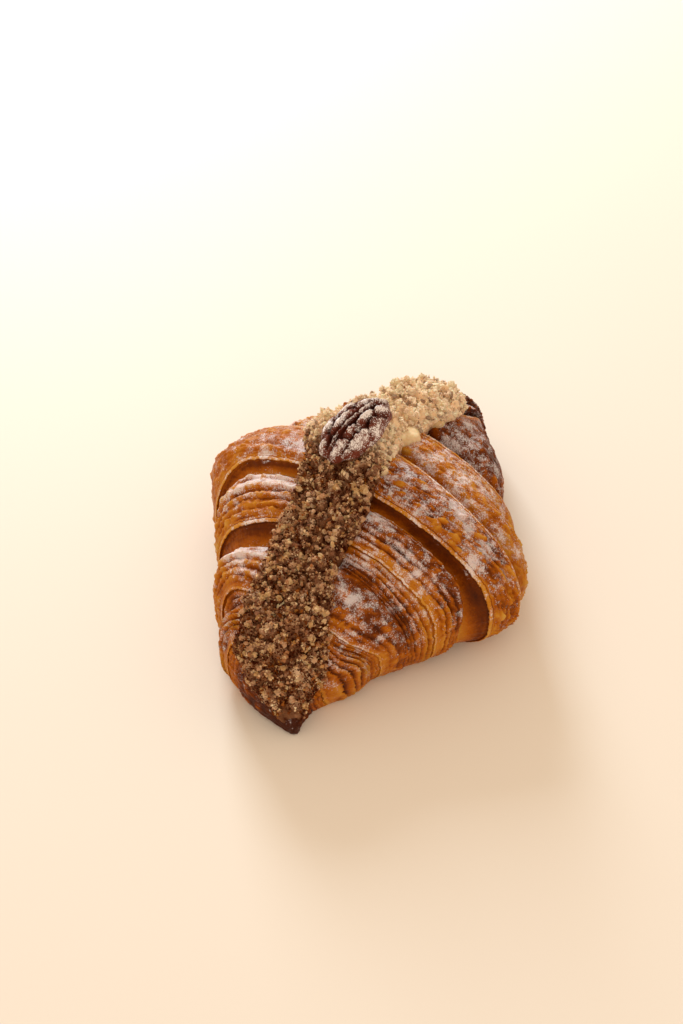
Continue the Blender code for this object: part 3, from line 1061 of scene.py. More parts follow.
    def baked(self, x: Array, angle: Array, rough: Array, sheet: Array, tone: Array,
              dust: Array) -> tuple[Array, Array]:
        """Browns the skin unevenly, darkens its right side a little, and lets the sugar fall from above, in
        drifts.

        Args:
            x: Places along the roll.
            angle: Angles of the section.
            rough: The points without their relief.
            sheet: Places around the roll in millimetres.
            tone: Tone of the coats.
            dust: Dust of the coats.

        Returns:
            The tone and the dust.
        """
        upward = np.clip(self.envelope.section(angle)[1] * 1.5 - 0.35, 0, 1)
        patches = 0.85 + 0.45 * GRAIN.layers(rough + 50, 9.0, 3)
        dust = dust * (0.12 + 0.88 * upward) * np.clip(patches, 0.2, 1.4)
        shown = slice(None, -self.base_columns)
        for strength, spots in self.drifts:
            for spot_x, spot_angle in spots:
                away = np.hypot(x - spot_x, sheet - np.interp(spot_angle, angle[0, shown], sheet[0, shown]))
                dust += strength * hill(away, 0, self.drift_size) * (dust > 0.02)
        left = smooth_step(-angle[0], -105, -60)
        tone = tone + 0.05 * left * smooth_step(-x, 28, 50)
        # The right side is 0.06 darker in tone than the left.
        tone = tone + 0.02 + 0.06 * (1 - left) + 0.08 * (upward - 0.6)
        tone = tone + 0.12 * GRAIN.layers(rough + 90, 14.0, 2)
        tips = smooth_step(np.abs(x), *self.tip_reach)
        return tone + tips * np.where(x < 0, 0.22, 0.04), dust * (1 - tips * np.where(x < 0, 0.2, 0.0))

    def capped(self, points: Array, quads: Array, marks: dict[str, Array], count: int,
               columns: int) -> Shape:
        """Closes both ends of a tube of rows, with a low dome at each.

        Args:
            points: Points of the rows, one row after the other.
            quads: Faces between the rows.
            marks: Marks of the points.
            count: How many rows there are.
            columns: How many points a row has.

        Returns:
            The closed shape.
        """
        triangles = []
        for first, outward in ((0, -1), ((count - 1) * columns, 1)):
            rim = np.arange(first, first + columns)
            middle = points[rim].mean(0)
            for turn in np.radians(self.cap_turns):
                ring = middle + (points[rim] - middle) * math.cos(turn)
                ring[:, 0] += outward * self.tip_bulge * math.sin(turn)
                ring[:, 2] = np.maximum(ring[:, 2], points[rim][:, 2].min())
                start = len(points)
                points = np.concatenate([points, ring])
                new = np.arange(start, start + columns)
                last = np.roll(rim, -1)
                ahead = stacked(last, np.roll(new, -1), new, rim)
                quads = np.concatenate([quads, ahead if outward > 0 else ahead[:, ::-1]])
                marks = {key: np.concatenate([value, value[first:first + columns]])
                         for key, value in marks.items()}
                rim = new
            centre = len(points)
            points = np.concatenate([points, [middle + [outward * self.tip_bulge, 0, 0]]])
            marks = {key: np.concatenate([value, value[first:first + 1]]) for key, value in marks.items()}
            pair = (rim, np.roll(rim, -1))[::outward]
            triangles.append(stacked(*pair, np.full(columns, centre)))
        return Shape(points, quads, np.concatenate(triangles), marks)

    def build(self) -> None:
        """Makes the wraps and gives them their crust."""
        crust = CrustFinish().material()
        for name, shape in self.shapes().items():
            finish_piece(name, shape, crust, "croissant")

    def shapes(self) -> dict[str, Shape]:
        """Shapes the wraps, with the two middle ones in one piece.

        Returns:
            The shape of each wrap, by its name.
        """
        angles = self.column_angles()
        near = self.wrap_rows(self.near[0], NEAR_MIDDLE, angles, 1)
        far = self.wrap_rows(self.far[0], FAR_MIDDLE, angles, 2)[1:]
        toward = np.array([-1] * len(near) + [1] * len(far))
        made = {"wrap_middle": self.shape(near[::-1] + far, toward, angles, 3)}
        for side, sign, wraps, tip in (("near", -1, self.near, NEAR_TIP), ("far", 1, self.far, FAR_TIP)):
            for number, word in enumerate(("second", "third", "fourth", "tip"), start=1):
                wrap = wraps[number] if number < len(wraps) else tip
                rows = self.wrap_rows(wrap, wraps[number - 1], angles, number * 3 + sign)[::sign]
                toward = np.full(len(rows), sign)
                made[f"wrap_{side}_{word}"] = self.shape(rows, toward, angles, 10 + number * 2 + (sign > 0))
        return made


# ------------------------------------------------------------------ topping


@dataclass
class Band:
    """The strip along the crest that the cream and the crumble cover.

    The reaches are rows of places along the roll and how far out the edge lies there. The far heap
    is a height, a place and a width, and sunlit the places where the painted light that makes the far part
    paler starts and is full.
    """

    envelope: Envelope
    near_end: float = -78.0
    far_end: float = 67.6
    left_reach: tuple[Pair, ...] = (
        (-78, 4.0), (-74, 12.0), (-66, 18.5), (-56, 18.5), (-42, 16.0), (-24, 15.5), (-5, 18.0), (8, 25.0),
        (20, 26.5), (36, 20.0), (50, 15.0), (58, 14.0), (64, 12.0), (67.6, 4.0))
    right_reach: tuple[Pair, ...] = (
        (-78, 3.5), (-74, 7.0), (-64, 10.5), (-52, 10.0), (-41, 9.0), (-18, 11.5), (3, 9.0), (18, 6.5),
        (30, 6.0), (43, 6.0), (52, 8.5), (62, 8.0), (67.6, 2.0))
    widest_across: float = 0.93
    least_reach: float = 0.5
    waver: float = 1.1
    ripple: float = 0.9
    far_heap: Triple = (2.7, 57.0, 14.0)
    sunlit_from: Pair = (-6.0, 14.0)

    def edges(self, x: Array, extra: float | Array = 0.0) -> tuple[Array, Array]:
        """Edges of the band.

        Args:
            x: Places along the roll.
            extra: How much further out than the band the edges are wanted.

        Returns:
            Angles of the left and the right edge at each place.
        """
        found = []
        for left, knots in ((True, self.left_reach), (False, self.right_reach)):
            places, reaches = np.array(knots).T
            line = turned_line(x, 3.1 if left else 7.7)
            waver = self.waver * GRAIN.at(line, 7.0) + self.ripple * GRAIN.at(line + 50, 2.6)
            reach = np.maximum(self.least_reach, np.interp(x, places, reaches) + waver + extra)
            half = self.envelope.half_width(x, np.full(x.shape, left))
            across = np.minimum(self.widest_across, reach / half)
            turn = np.degrees(np.arccos(across ** (1 / self.envelope.bends[0])))
            found.append(turn if left else 180 - turn)
        return found[0], found[1]

    def grid(self, rows: int, columns: int) -> tuple[Array, Array, Array]:
        """Lays a grid over the band.

        Args:
            rows: How many rows it has along the roll.
            columns: How many points a row has.

        Returns:
            x, the angle, and how far across the band each point lies, 0 to 1.
        """
        x = np.linspace(self.near_end, self.far_end, rows)
        left, right = self.edges(x)
        across = np.linspace(0, 1, columns)
        angle = left[:, None] + (right - left)[:, None] * across
        return np.broadcast_to(x[:, None], angle.shape).copy(), angle, np.broadcast_to(across, angle.shape)

    def heap(self, x: Array) -> Array:
        """How much thicker the crumble is at x than elsewhere."""
        return self.far_heap[0] * hill(x, *self.far_heap[1:])

    def sunlit(self, x: Array) -> Array:
        """How much painted light the crumble gets at x, 0 to 1: the far half, which faces the key light, is
        painted paler.
        """
        return smooth_step(x, *self.sunlit_from)


def slab(top: Array, bottom: Array, marks: dict[str, Array]) -> Shape:
    """Joins a top and a bottom grid of points into one closed shape.

    Args:
        top: Rows by columns of points.
        bottom: The same number of points beneath.
        marks: Marks of the top points, which the bottom ones take too.

    Returns:
        The closed shape.
    """
    rows, columns = top.shape[:2]
    grid = np.arange(rows * columns).reshape(rows, columns)
    lower = stacked(grid[:-1, :-1], grid[:-1, 1:], grid[1:, 1:], grid[1:, :-1]).reshape(-1, 4)
    rim = np.concatenate([grid[0, :-1], grid[:-1, -1], grid[-1, :0:-1], grid[:0:-1, 0]])
    beside = np.roll(rim, -1)
    side = stacked(rim, beside, beside + grid.size, rim + grid.size)
    points = np.concatenate([top.reshape(-1, 3), bottom.reshape(-1, 3)])
    both = {key: np.concatenate([value.ravel(), value.ravel()]) for key, value in marks.items()}
    return Shape(points, np.concatenate([lower[:, ::-1], lower + grid.size, side]), marks=both)


@dataclass
class NutCream:
    """Strip of smooth nut cream, which bulges out from under the crumble in a few places.

    Each bulge is a place, a width and how far it comes out.
    """

    band: Band
    thickness: float = 1.2
    under: float = 4.5
    skin: float = 0.2
    rounded: float = 0.2
    bulge_rise: float = 0.38
    waves: Pair = (0.35, 5.0)
    short: float = 3.0
    rows: int = 360
    columns: int = 78
    tucked: float = 2.5
    bulges: tuple[Triple, ...] = ((-72.0, 2.6, 4.2), (3.0, 3.5, 4.4), (29.0, 7.5, 5.2), (47.0, 4.0, 3.8))

    def build(self) -> None:
        """Makes the strip and gives it its finish."""
        finish_piece("cream_strip", self.shape(), CreamFinish().material(), "nut_cream")

    def shape(self) -> Shape:
        """Shapes the strip, which starts under the surface of the roll.

        Returns:
            The closed strip.
        """
        env = self.band.envelope
        x = np.linspace(self.band.near_end + self.short, self.band.far_end - self.short, self.rows)
        swell = sum(size * hill(x, place, width) for place, width, size in self.bulges)
        left, _ = self.band.edges(x, -self.tucked)
        _, right = self.band.edges(x, swell - self.tucked)
        across = np.linspace(0, 1, self.columns)
        angle = left[:, None] + (right - left)[:, None] * across
        x = np.broadcast_to(x[:, None], angle.shape)
        rim = np.minimum(across, 1 - across) * 2
        dome = np.sqrt(1 - (1 - np.clip(rim / self.rounded, 0, 1)) ** 2)
        thick = self.thickness + self.bulge_rise * swell[:, None] * across
        depth, size = self.waves
        level = self.skin + thick * dome + depth * GRAIN.layers(env.point(x, angle), size, 2) * dome
        return slab(env.point(x, angle, -level), env.point(x, angle, self.under), {})


@dataclass
class PecanHalf:
    """The pecan half: a domed oval with a deep groove along it and wrinkled lobes beside it.

    The ridge in the middle, the groove and the second groove are each a depth, how far out they
    lie and a width.
    """

    length: float = 31.5
    width: float = 18.5
    dome: float = 8.5
    edge: float = 1.2
    place: Triple = (8.0, 10.0, 62.3)
    yaw: float = -19.0
    pitch: float = 12.0
    middle: Triple = (1.5, 0.1, 0.55)
    groove: Triple = (3.0, 0.9, 0.9)
    second: Triple = (1.9, 4.6, 0.85)
    second_bend: float = 1.1
    lobe_length: float = 8.6
    lobe_height: float = 2.3
    slant: float = 0.55
    wrinkle: Pair = (0.75, 1.8)
    notch: float = 0.30
    notches: int = 9
    rise_reach: Pair = (-2.2, 1.2)
    under_scale: float = 0.86
    rings: int = 110
    turns: int = 220

    def build(self) -> None:
        """Makes the pecan half and gives it its skin."""
        finish_piece("pecan", self.shape(), PecanFinish().material(), "pecan_half")

    def matrix(self) -> Matrix:
        """Place and turn of the pecan half, in the roll's frame."""
        turn = Euler((0, math.radians(-self.pitch), math.radians(self.yaw)))
        return Matrix.LocRotScale(Vector(self.place), turn, None)

    def inside(self, points: Array) -> Array:
        """Points of the roll's frame in the pecan half's own."""
        turn = np.array(self.matrix())
        return (points - turn[:3, 3]) @ turn[:3, :3]

    def outside(self, points: Array) -> Array:
        """Points of the pecan half's own frame in the roll's."""
        turn = np.array(self.matrix())
        return points @ turn[:3, :3].T + turn[:3, 3]

    def rise(self, x: Array, y: Array, out: Array) -> Array:
        """Height of the lobes, grooves and wrinkles above the dome.

        Args:
            x: Places along the pecan half.
            y: Places across it.
            out: How far out they lie, 0 to 1.

        Returns:
            The height at each place.
        """
        spot = stacked(x, y, np.zeros_like(x))
        bend = GRAIN.at(spot + 3, 6.0)
        side = np.abs(y + 0.6 * bend)
        strength, place, width = self.middle
        middle = strength * hill(side, place, width) * smooth_step(x, -9.0, -3.0)
        strength, place, width = self.groove
        groove = strength * hill(side, place, width) * (1 - 0.35 * (x / (self.length / 2)) ** 2)
        strength, place, width = self.second
        place = place + self.second_bend * bend
        second = strength * hill(side, place, width)
        turned = (x + self.slant * side * np.sign(x + 4) + 1.4 * bend) / self.lobe_length
        offset = np.where(y > 0, 0.35, 0.0) + np.where(side > place, 0.45, 0.0)
        lobes = self.lobe_height * (np.abs(np.sin(np.pi * (turned + offset))) ** 0.55 - 0.75)
        wrinkle = self.wrinkle[0] * GRAIN.layers(spot, self.wrinkle[1], 3)
        return (lobes * np.clip(side / 2.2, 0, 1) + wrinkle + middle - groove - second) * (1 - 0.75 * out**8)

    def shape(self) -> Shape:
        """Shapes the pecan half: lobes on top, a skirt round its edge and a flat underside.

        Returns:
            The shape in the roll's frame, with the marks ridge and dust.
        """
        out = np.sin(np.pi / 2 * np.linspace(0.004, 1, self.rings))[:, None]
        angle = np.linspace(0, 2 * np.pi, self.turns, endpoint=False)[None, :]
        x = out * np.cos(angle) * self.length / 2
        y = out * np.sin(angle) * (1 - 0.10 * np.cos(angle)) * self.width / 2
        rise = self.rise(x, y, out)
        body = self.dome * np.maximum(0, 1 - out**2.6) ** 0.55
        notch = np.sin(angle * self.notches + 1.3) * smooth_step(out, 0.75, 1.0)
        scale = 1 + self.notch * notch / (self.width / 2)
        top = stacked(x * scale, y * scale, self.edge + body + rise)
        count = self.rings * self.turns
        inner, outer, lower = (np.arange(self.turns) + start for start in (0, count - self.turns, count))
        skirt = stacked(outer, lower, np.roll(lower, -1), np.roll(outer, -1))
        under = top[-1] * [self.under_scale, self.under_scale, 0.0]
        points = np.concatenate([top.reshape(-1, 3), under, [[0, 0, top[0, 0, 2]], [0, 0, 0]]])
        centre = np.full(self.turns, count + self.turns)
        triangles = np.concatenate([stacked(centre, inner, np.roll(inner, -1)),
                                    stacked(lower, centre + 1, np.roll(lower, -1))])
        kept = np.clip(rise, *self.rise_reach)
        patches = GRAIN.layers(stacked(x, y, np.zeros_like(x)) + 20, 4.0, 2)
        dust = np.clip(0.88 + 0.40 * kept + 0.40 * patches, 0, 1.4) * (1 - 0.45 * smooth_step(out, 0.88, 1.0))
        tail = np.full(self.turns + 2, 0.3)
        marks = {"ridge": np.concatenate([(0.52 + 0.20 * kept).ravel(), tail]),
                 "dust": np.concatenate([dust.ravel(), tail * 0])}
        quads = np.concatenate([tube_quads(self.rings, self.turns), skirt])
        return Shape(self.outside(points), quads, triangles, marks)


@dataclass(frozen=True)
class CrumbKind:
    """One kind of crumb: its share of all crumbs on the near and the far half, and its widths.

    The rings are the segments and rings of the ball that each crumb is made from.
    """

    name: str
    near_share: float
    far_share: float
    low: float
    high: float
    finish: CrumbFinish
    rings: tuple[int, int]
    flatness: float = 0.8


LUMP, CRUMB, FLECK = (7, 5), (5, 3), (4, 3)
CORE_CRUMB = CrumbFinish("crumble_core", (0.045, 0.005, 0.0004), (0.28, 0.130, 0.064), (0.97, 0.70, 0.455))
NUT_BIT = CrumbFinish("nut_bit", (0.42, 0.18, 0.04), (0.66, 0.44, 0.23), (0.88, 0.74, 0.52), 0.55)
CREAM_CRUMB = CrumbFinish("cream_crumb", (0.52, 0.22, 0.06), (0.93, 0.665, 0.405), (1.0, 0.90, 0.69))
PALE_CRUMB = CrumbFinish("pale_crumb", (0.34, 0.105, 0.020), (0.56, 0.340, 0.200), (0.92, 0.715, 0.515))
TAN_CRUMB = CrumbFinish("tan_crumb", (0.16, 0.038, 0.004), (0.325, 0.167, 0.096), (0.46, 0.335, 0.245))
BROWN_CRUMB = CrumbFinish("brown_crumb", (0.06, 0.008, 0.0006), (0.185, 0.071, 0.033), (0.36, 0.210, 0.138))
DARK_CRUMB = CrumbFinish("dark_crumb", (0.035, 0.003, 0.0003), (0.090, 0.015, 0.002), (0.26, 0.095, 0.045))


@dataclass
class Crumble:
    """Band of crumble: a lumpy core, and loose crumbs of several kinds in clumps on it.

    Grit and waves are each a strength and a size, after the mean height in the clumps' own. The
    bare place and the near extra are each a strength, a place and a width. The other pairs are the
    values between which something grows or is drawn at random.
    """

    band: Band
    pecan: PecanHalf
    core: float = 2.4
    lump: float = 4.6
    lump_size: float = 4.6
    rim: float = 1.0
    rim_share: float = 0.10
    end_length: float = 4.0
    under: float = 3.0
    grit: Pair = (0.75, 1.7)
    far_waves: Pair = (0.8, 3.0)
    bare: Triple = (2.4, 34.0, 7.0)
    bare_across: Pair = (0.45, 0.85)
    nest_height: float = 0.4
    nest_slope: float = 25.0
    nest_grit: Pair = (1.9, 2.6)
    nest_reach: Pair = (1.0, 1.75)
    nest_rim: Pair = (0.02, 0.28)
    seat_edge: Pair = (-1.16, -0.96)
    flattened: Triple = (1, 1, 0.4)
    rows: int = 480
    columns: int = 100
    clumps: int = 2230
    spread: int = 24000
    seed: int = 5
    core_finish: CrumbFinish = CORE_CRUMB
    templates_each: int = 8
    lump_roughness: float = 0.5
    crumb_roughness: float = 0.9
    spread_up: Pair = (-0.3, 0.35)
    sunlit_down: float = 0.55
    clump_up: Triple = (0.2, 1.2, 5.0)
    clump_members: tuple[int, int] = (6, 15)
    clump_radius: Pair = (0.5, 1.4)
    near_extra: Triple = (0.9, -73, 8)
    densest: float = 70.0
    # The near shares, rich in brown and dark crumbs, paint the shade on the near half; the far shares, rich
    # in pale ones, paint the light on the far half.
    kinds: tuple[CrumbKind, ...] = (
        CrumbKind("nut_bits", 0.010, 0.06, 0.9, 2.3, NUT_BIT, LUMP, 0.55),
        CrumbKind("crumbs_cream", 0.012, 0.48, 0.35, 1.05, CREAM_CRUMB, FLECK),
        CrumbKind("lumps_pale", 0.01, 0.06, 1.0, 2.1, PALE_CRUMB, LUMP),
        CrumbKind("crumbs_pale", 0.08, 0.335, 0.35, 1.0, PALE_CRUMB, FLECK),
        CrumbKind("lumps_tan", 0.025, 0.01, 1.0, 1.9, TAN_CRUMB, LUMP),
        CrumbKind("crumbs_tan", 0.37, 0.055, 0.35, 0.95, TAN_CRUMB, CRUMB),
        CrumbKind("crumbs_brown", 0.33, 0.0, 0.35, 0.9, BROWN_CRUMB, CRUMB),
        CrumbKind("crumbs_dark", 0.165, 0.0, 0.35, 0.85, DARK_CRUMB, CRUMB),
    )

    def build(self) -> None:
        """Makes the core and the crumbs, and gives them their finishes."""
        core = self.core_finish.material()
        finish_piece("crumble_core", self.core_shape(), core, "crumble")
        for name, (shape, finish) in self.scattered().items():
            finish_piece(name, shape, finish.material(), "crumble", smooth=False)

    def clump(self, place: Array) -> Array:
        """Clumps of crumbs.

        Args:
            place: Points on or near the envelope.

        Returns:
            0 in the pits between clumps, and up to about 1 on the clumps.
        """
        flat = place * self.flattened
        lumps = np.abs(GRAIN.at(flat + 40, self.lump_size)) * 1.7
        return np.clip(lumps + 0.25 * GRAIN.at(flat + 11, 1.9), 0, 1.2)

    def level(self, x: Array, angle: Array, across: Array) -> Array:
        """Height of the core's top above the envelope.

        Args:
            x: Places along the roll.
            angle: Angles of the section.
            across: How far across the band they lie, 0 to 1.

        Returns:
            The height at each place.
        """
        place = self.band.envelope.point(x, angle)
        sunlit = self.band.sunlit(x)
        inward = np.minimum(across, 1 - across)
        from_end = np.minimum(x - self.band.near_end, self.band.far_end - x)
        rim, ends = (np.sqrt(np.clip(value / size, 0, 1))
                     for value, size in ((inward, self.rim_share), (from_end, self.end_length)))
        broad = GRAIN.at(place * self.flattened, 9.0)
        lump = self.lump * (1 + 0.25 * sunlit) * (0.3 * broad + 0.75 * self.clump(place) - 0.25)
        waves = self.far_waves[0] * sunlit * GRAIN.at(place + 33, self.far_waves[1])
        body = self.core + self.band.heap(x) + lump + waves
        depth, middle, length = self.bare
        body = body - depth * hill(x, middle, length) * smooth_step(across, *self.bare_across)
        level = self.rim + (body + self.grit[0] * GRAIN.layers(place, self.grit[1], 3)) * rim * ends
        return np.maximum(level, self.nest(place, inward))

    def nest(self, place: Array, inward: Array) -> Array:
        """Height of the crumble that is heaped up to the pecan half, above the envelope.

        Args:
            place: Points on the envelope.
            inward: How far they lie from the band's nearer edge, as a share of its width.

        Returns:
            The height, below zero far from the pecan half.
        """
        local, away = self.by_pecan(place)
        outside = np.clip(away - 0.92, 0, 2)
        grit = self.nest_grit[0] * GRAIN.layers(place, self.nest_grit[1], 3) * np.clip(outside * 6, 0, 1)
        nest = self.nest_height - local[..., 2] - self.nest_slope * outside + grit
        return nest * (1 - smooth_step(away, *self.nest_reach)) * smooth_step(inward, *self.nest_rim)

    def by_pecan(self, points: Array) -> tuple[Array, Array]:
        """Points in the pecan half's own frame, and how far out from it they lie, 1 at its outline."""
        local = self.pecan.inside(points)
        return local, np.hypot(local[..., 0] / self.pecan.length, local[..., 1] / self.pecan.width) * 2

    def seat(self, points: Array) -> Array:
        """Lowers points that would come up through the pecan half.

        Args:
            points: Points in the roll's frame.

        Returns:
            The points, with those beneath the pecan half at most as high as its underside.
        """
        local, away = self.by_pecan(points)
        height = local[..., 2]
        under = smooth_step(-away, *self.seat_edge)
        sunk = np.where(height > -0.2, height * (1 - under) - 0.2 * under, height)
        return self.pecan.outside(stacked(local[..., 0], local[..., 1], sunk))

    def core_shape(self) -> Shape:
        """Shapes the core.

        Returns:
            The closed core, with the mark shade, which holds painted shade in the pits and painted light on
            the clumps and the far half.
        """
        x, angle, across = self.band.grid(self.rows, self.columns)
        env = self.band.envelope
        top = self.seat(env.point(x, angle, -self.level(x, angle, across)))
        place = env.point(x, angle)
        # Painted shade and light: darker in the pits between clumps, paler on the clumps and on the sunlit
        # far half.
        shade = 0.04 + 0.55 * self.clump(place) + 0.20 * GRAIN.layers(place, 1.7, 3)
        return slab(top, env.point(x, angle, self.under), {"shade": shade + 0.75 * self.band.sunlit(x)})

    def templates(self, kind: CrumbKind, seed: int) -> list[tuple[Array, Array]]:
        """Lumpy crumbs of 16 to 56 faces each, made from a round primitive.

        Args:
            kind: The kind of crumb.
            seed: Makes the crumbs of each kind their own.

        Returns:
            Points and triangles of each crumb, about 1 across.
        """
        made = []
        rough = self.lump_roughness if kind.rings == LUMP else self.crumb_roughness
        for number in range(self.templates_each):
            bpy.ops.object.select_all(action="DESELECT")
            bpy.ops.mesh.primitive_uv_sphere_add(segments=kind.rings[0], ring_count=kind.rings[1], radius=0.5)
            ball = bpy.context.object
            bpy.ops.object.mode_set(mode="EDIT")
            bpy.ops.transform.resize(value=(1.0, 0.95 - 0.05 * number, kind.flatness))
            bpy.ops.mesh.quads_convert_to_tris()
            bpy.ops.object.mode_set(mode="OBJECT")
            mesh = ball.data
            points = np.array([v.co for v in mesh.vertices])
            faces = np.array(sorted(tuple(f.vertices) for f in mesh.polygons))
            bpy.data.objects.remove(ball, do_unlink=True)
            bpy.data.meshes.remove(mesh)
            lumps = 1 + sum(rough * GRAIN.at(points * finer + step * number + seed)
                            for finer, step in ((2.6, 7), (5.7, 3)))
            made.append((points * np.clip(lumps, 0.45, 1.7)[:, None], faces))
        return made

    def spots(self, draw: np.random.Generator, count: int) -> tuple[Array, Array]:
        """Places spread evenly over the band.

        Args:
            draw: The source of random numbers.
            count: How many to find.

        Returns:
            x and angle of each place.
        """
        x = draw.uniform(self.band.near_end + 0.5, self.band.far_end - 0.5, count * 6)
        left, right = self.band.edges(x)
        angle = left + (right - left) * draw.uniform(0, 1, len(x))
        env = self.band.envelope
        width = np.linalg.norm(env.point(x, right) - env.point(x, left), axis=1)
        slope = np.hypot(1, env.height(x + 0.5) - env.height(x - 0.5))
        extra, place, reach = self.near_extra
        wanted = width * slope * (1 + extra * hill(x, place, reach))
        kept = np.flatnonzero(draw.uniform(0, self.densest, len(x)) < wanted)[:count]
        return x[kept], angle[kept]

    def place(self, x: Array, angle: Array, up: Array) -> Array:
        """Points above the core.

        Args:
            x: Places along the roll.
            angle: Angles of the section.
            up: How far above the core's top each point lies.

        Returns:
            The points.
        """
        left, right = self.band.edges(x)
        across = np.clip((angle - left) / (right - left), 0, 1)
        return self.band.envelope.point(x, angle, -(self.level(x, angle, across) + up))

    def places(self, draw: np.random.Generator) -> tuple[Array, Array, Array, Array]:
        """Where the crumbs lie: one layer over the core, and round clumps on it.

        Args:
            draw: The source of random numbers.

        Returns:
            Points, and a size factor, a shade and a share of paler kinds for each. The shade and the share
            hold painted light on the far half and the tops of clumps, and painted shade in the pits.
        """
        x, angle = self.spots(draw, self.spread)
        lit = self.band.sunlit(x)
        points = [self.place(x, angle, draw.uniform(*self.spread_up, len(x)) - self.sunlit_down * lit)]
        clump = self.clump(points[0])
        # Painted light and shade: crumbs on the sunlit far half and on the clumps are paler, those in the
        # pits darker.
        pale = [np.maximum(lit, np.clip(1.1 * clump - 0.40, 0, 0.7))]
        tints_and_light = [0.62 * clump * (1 - lit) + 0.22 * GRAIN.layers(points[0], 6.0, 2) + 0.92 * lit
                 + 0.18 * hill(x, -22, 20) - 0.20]
        x, angle = self.spots(draw, self.clumps)
        around = self.place(x, angle, np.zeros(len(x)))
        up, waves, size = self.clump_up
        centres = self.place(x, angle, up + waves * GRAIN.at(around + 70, size))
        for centre, lit in zip(centres, self.band.sunlit(x)):
            members = draw.integers(*self.clump_members)
            radius = draw.uniform(*self.clump_radius)
            away = draw.normal(size=(members, 3))
            away /= np.linalg.norm(away, axis=1, keepdims=True)
            away[:, 2] = np.abs(away[:, 2]) * 0.8
            points.append(centre + away * radius * draw.uniform(0.35, 1.0, (members, 1)))
            kind = draw.uniform(0.0, 0.75)
            # Painted light: crumbs on the sunlit far half and on the tops of clumps are lighter.
            tints_and_light.append(0.12 + 0.30 * kind + 0.66 * lit + 0.14 * away[:, 2] + draw.normal(0, 0.06, members))
            pale.append(np.full(members, max(lit, kind)))
        joined = self.seat(np.concatenate(points))
        return joined, draw.uniform(0, 1, len(joined)) ** 1.8, np.concatenate(tints_and_light), np.concatenate(pale)

    def scattered(self) -> dict[str, tuple[Shape, CrumbFinish]]:
        """Places all the crumbs and gives each its kind.

        Returns:
            The joined crumbs of each kind and their finish, by name.
        """
        draw = np.random.default_rng(self.seed)
        points, sizes, shades, pale = self.places(draw)
        near = np.cumsum([kind.near_share for kind in self.kinds])
        far = np.cumsum([kind.far_share for kind in self.kinds])
        # Paler kinds go where the painted light falls, darker kinds into the painted shade of the near half
        # and of the pits.
        ends = near[None] * (1 - pale[:, None]) + far[None] * pale[:, None]
        drawn = 0.8 * GRAIN.layers(points + 60, 2.6, 2) + draw.normal(0, 0.28, len(points))
        ranks = np.argsort(np.argsort(drawn)) / len(points)
        kinds = np.minimum((ranks[:, None] > ends).sum(1), len(self.kinds) - 1)
        made = {}
        for number, kind in enumerate(self.kinds):
            chosen = np.flatnonzero(kinds == number)
            width = (kind.low + (kind.high - kind.low) * sizes[chosen]) * (0.98 + 0.36 * pale[chosen])
            shape = scatter(self.templates(kind, number * 11), points[chosen], width, shades[chosen], draw)
            made[kind.name] = (shape, kind.finish)
        return made


def scatter(templates: list, places: Array, sizes: Array, shades: Array,
            draw: np.random.Generator) -> Shape:
    """Copies small shapes to many places, each turned its own way, as one joined shape.

    Args:
        templates: Points and triangles of each small shape.
        places: Where the copies go.
        sizes: Width of each copy.
        shades: Value of the mark shade for each copy.
        draw: The source of random numbers.

    Returns:
        The joined shape.
    """
    spins = draw.normal(size=(len(places), 4))
    spins /= np.linalg.norm(spins, axis=1, keepdims=True)
    w, x, y, z = spins.T
    turns = np.moveaxis(np.array((
        (1 - 2 * (y * y + z * z), 2 * (x * y - z * w), 2 * (x * z + y * w)),
        (2 * (x * y + z * w), 1 - 2 * (x * x + z * z), 2 * (y * z - x * w)),
        (2 * (x * z - y * w), 2 * (y * z + x * w), 1 - 2 * (x * x + y * y)))), -1, 0)
    picks = draw.integers(0, len(templates), len(places))
    points, faces, shade, offset = [], [], [], 0
    for number, (template, triangles) in enumerate(templates):
        chosen = np.flatnonzero(picks == number)
        moved = np.einsum("nij,vj->nvi", turns[chosen], template) * sizes[chosen, None, None]
        moved += places[chosen, None, :]
        starts = offset + np.arange(len(chosen)) * len(template)
        faces.append((triangles[None] + starts[:, None, None]).reshape(-1, 3))
        points.append(moved.reshape(-1, 3))
        shade.append(np.repeat(shades[chosen], len(template)))
        offset += len(chosen) * len(template)
    return Shape(np.concatenate(points), np.zeros((0, 4), int), np.concatenate(faces),
                 {"shade": np.concatenate(shade)})


# ------------------------------------------------------------------ stage


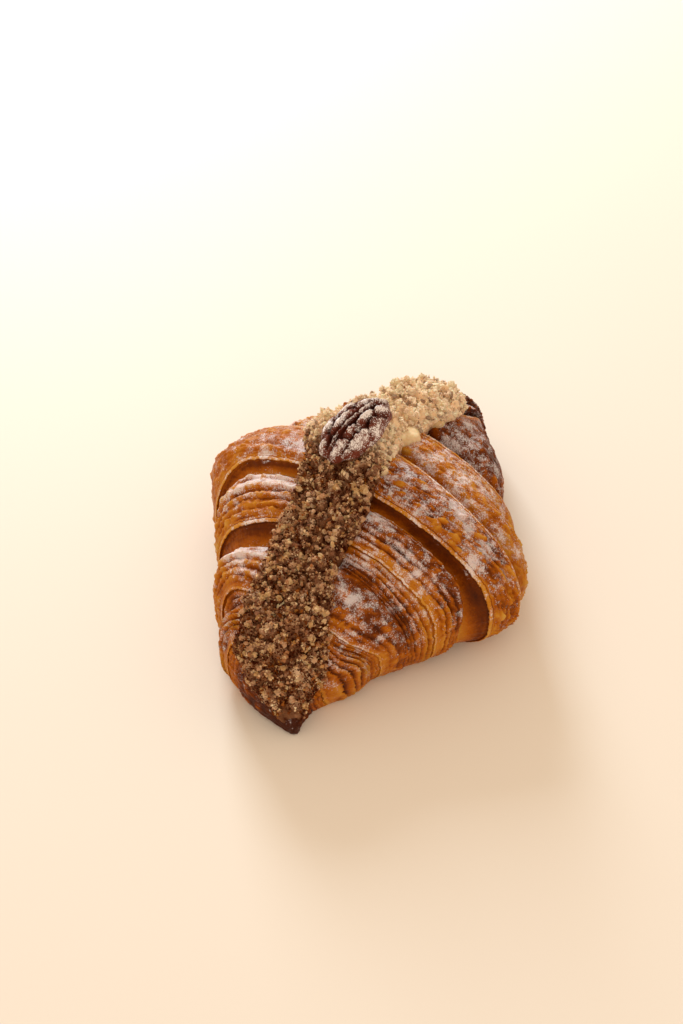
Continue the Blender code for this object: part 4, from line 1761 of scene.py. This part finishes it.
@dataclass
class Studio:
    """Pale floor, soft light from behind, and the camera. Its lengths are in metres."""

    eye: Triple = (-0.4593, -0.2288, 0.5872)
    target: Triple = (0.0221, 0.0231, 0.0)
    lens: float = 72.94
    key_from: Triple = (0.64, 0.63, 0.44)
    key_distance: float = 1.1
    key_size: float = 0.36
    key_power: float = 10.0
    key_colour: Colour = (0.86, 0.95, 1.0)
    fill_place: Triple = (-0.9, -0.5, 0.8)
    fill_size: float = 1.2
    fill_power: float = 2.5
    fill_colour: Colour = (1.0, 0.86, 0.68)
    sky_colour: Colour = (1.0, 0.80, 0.595)
    sky_strength: float = 0.84
    floor_size: float = 8.0
    floor_drop: float = 0.0002
    floor_colour: Colour = (0.87, 0.805, 0.735)

    def build(self) -> None:
        """Makes the floor, the lights and the camera."""
        self.floor()
        self.lights()
        data = bpy.data.cameras.new("camera")
        data.lens = self.lens
        camera = bpy.data.objects.new("camera", data)
        bpy.context.scene.collection.objects.link(camera)
        camera.location = self.eye
        camera.rotation_euler = (Vector(self.target) - camera.location).to_track_quat("-Z", "Y").to_euler()
        bpy.context.scene.camera = camera

    def floor(self) -> None:
        """A wide pale floor."""
        bpy.ops.object.select_all(action="DESELECT")
        bpy.ops.mesh.primitive_plane_add(size=self.floor_size, location=(0, 0, -self.floor_drop))
        floor = bpy.context.object
        floor.name = "floor"
        graph = Graph("pale_floor")
        patch = graph.grain(60.0, 2.0)
        colour = graph.mix(patch * 0.2, self.floor_colour, tuple(c * 0.97 for c in self.floor_colour))
        floor.data.materials.append(graph.dress({"Roughness": 0.6, "Specular IOR Level": 0.3},
                                                {"Base Color": colour}))

    def light(self, name: str, place: Vector, size: float, power: float, colour: Colour) -> None:
        """Adds a soft square light that points at the croissant.

        Args:
            name: Name of the light.
            place: Where it stands.
            size: Length of its sides.
            power: Its power in watts.
            colour: Its colour.
        """
        data = bpy.data.lights.new(name, "AREA")
        data.size, data.energy, data.color = size, power, colour
        lamp = bpy.data.objects.new(name, data)
        bpy.context.scene.collection.objects.link(lamp)
        lamp.location = place
        lamp.rotation_euler = (-place).to_track_quat("-Z", "Y").to_euler()

    def lights(self) -> None:
        """The key light, a soft fill from the front, and the pale surroundings."""
        key_place = Vector(self.key_from).normalized() * self.key_distance
        self.light("key", key_place, self.key_size, self.key_power, self.key_colour)
        self.light("fill", Vector(self.fill_place), self.fill_size, self.fill_power, self.fill_colour)
        world = bpy.data.worlds.new("surroundings")
        world.use_nodes = True
        back = world.node_tree.nodes["Background"]
        back.inputs["Color"].default_value = (*self.sky_colour, 1)
        back.inputs["Strength"].default_value = self.sky_strength
        bpy.context.scene.world = world
        bpy.context.scene.view_settings.view_transform = "Standard"


def main() -> None:
    """Builds every piece in order, and writes how large the model is."""
    logging.basicConfig(level=logging.INFO, format="%(message)s")
    envelope, pecan = Envelope(), PecanHalf()
    band = Band(envelope)
    for part in (Croissant(envelope), NutCream(band), pecan, Crumble(band, pecan), Studio()):
        part.build()


if __name__ == "__main__":
    main()
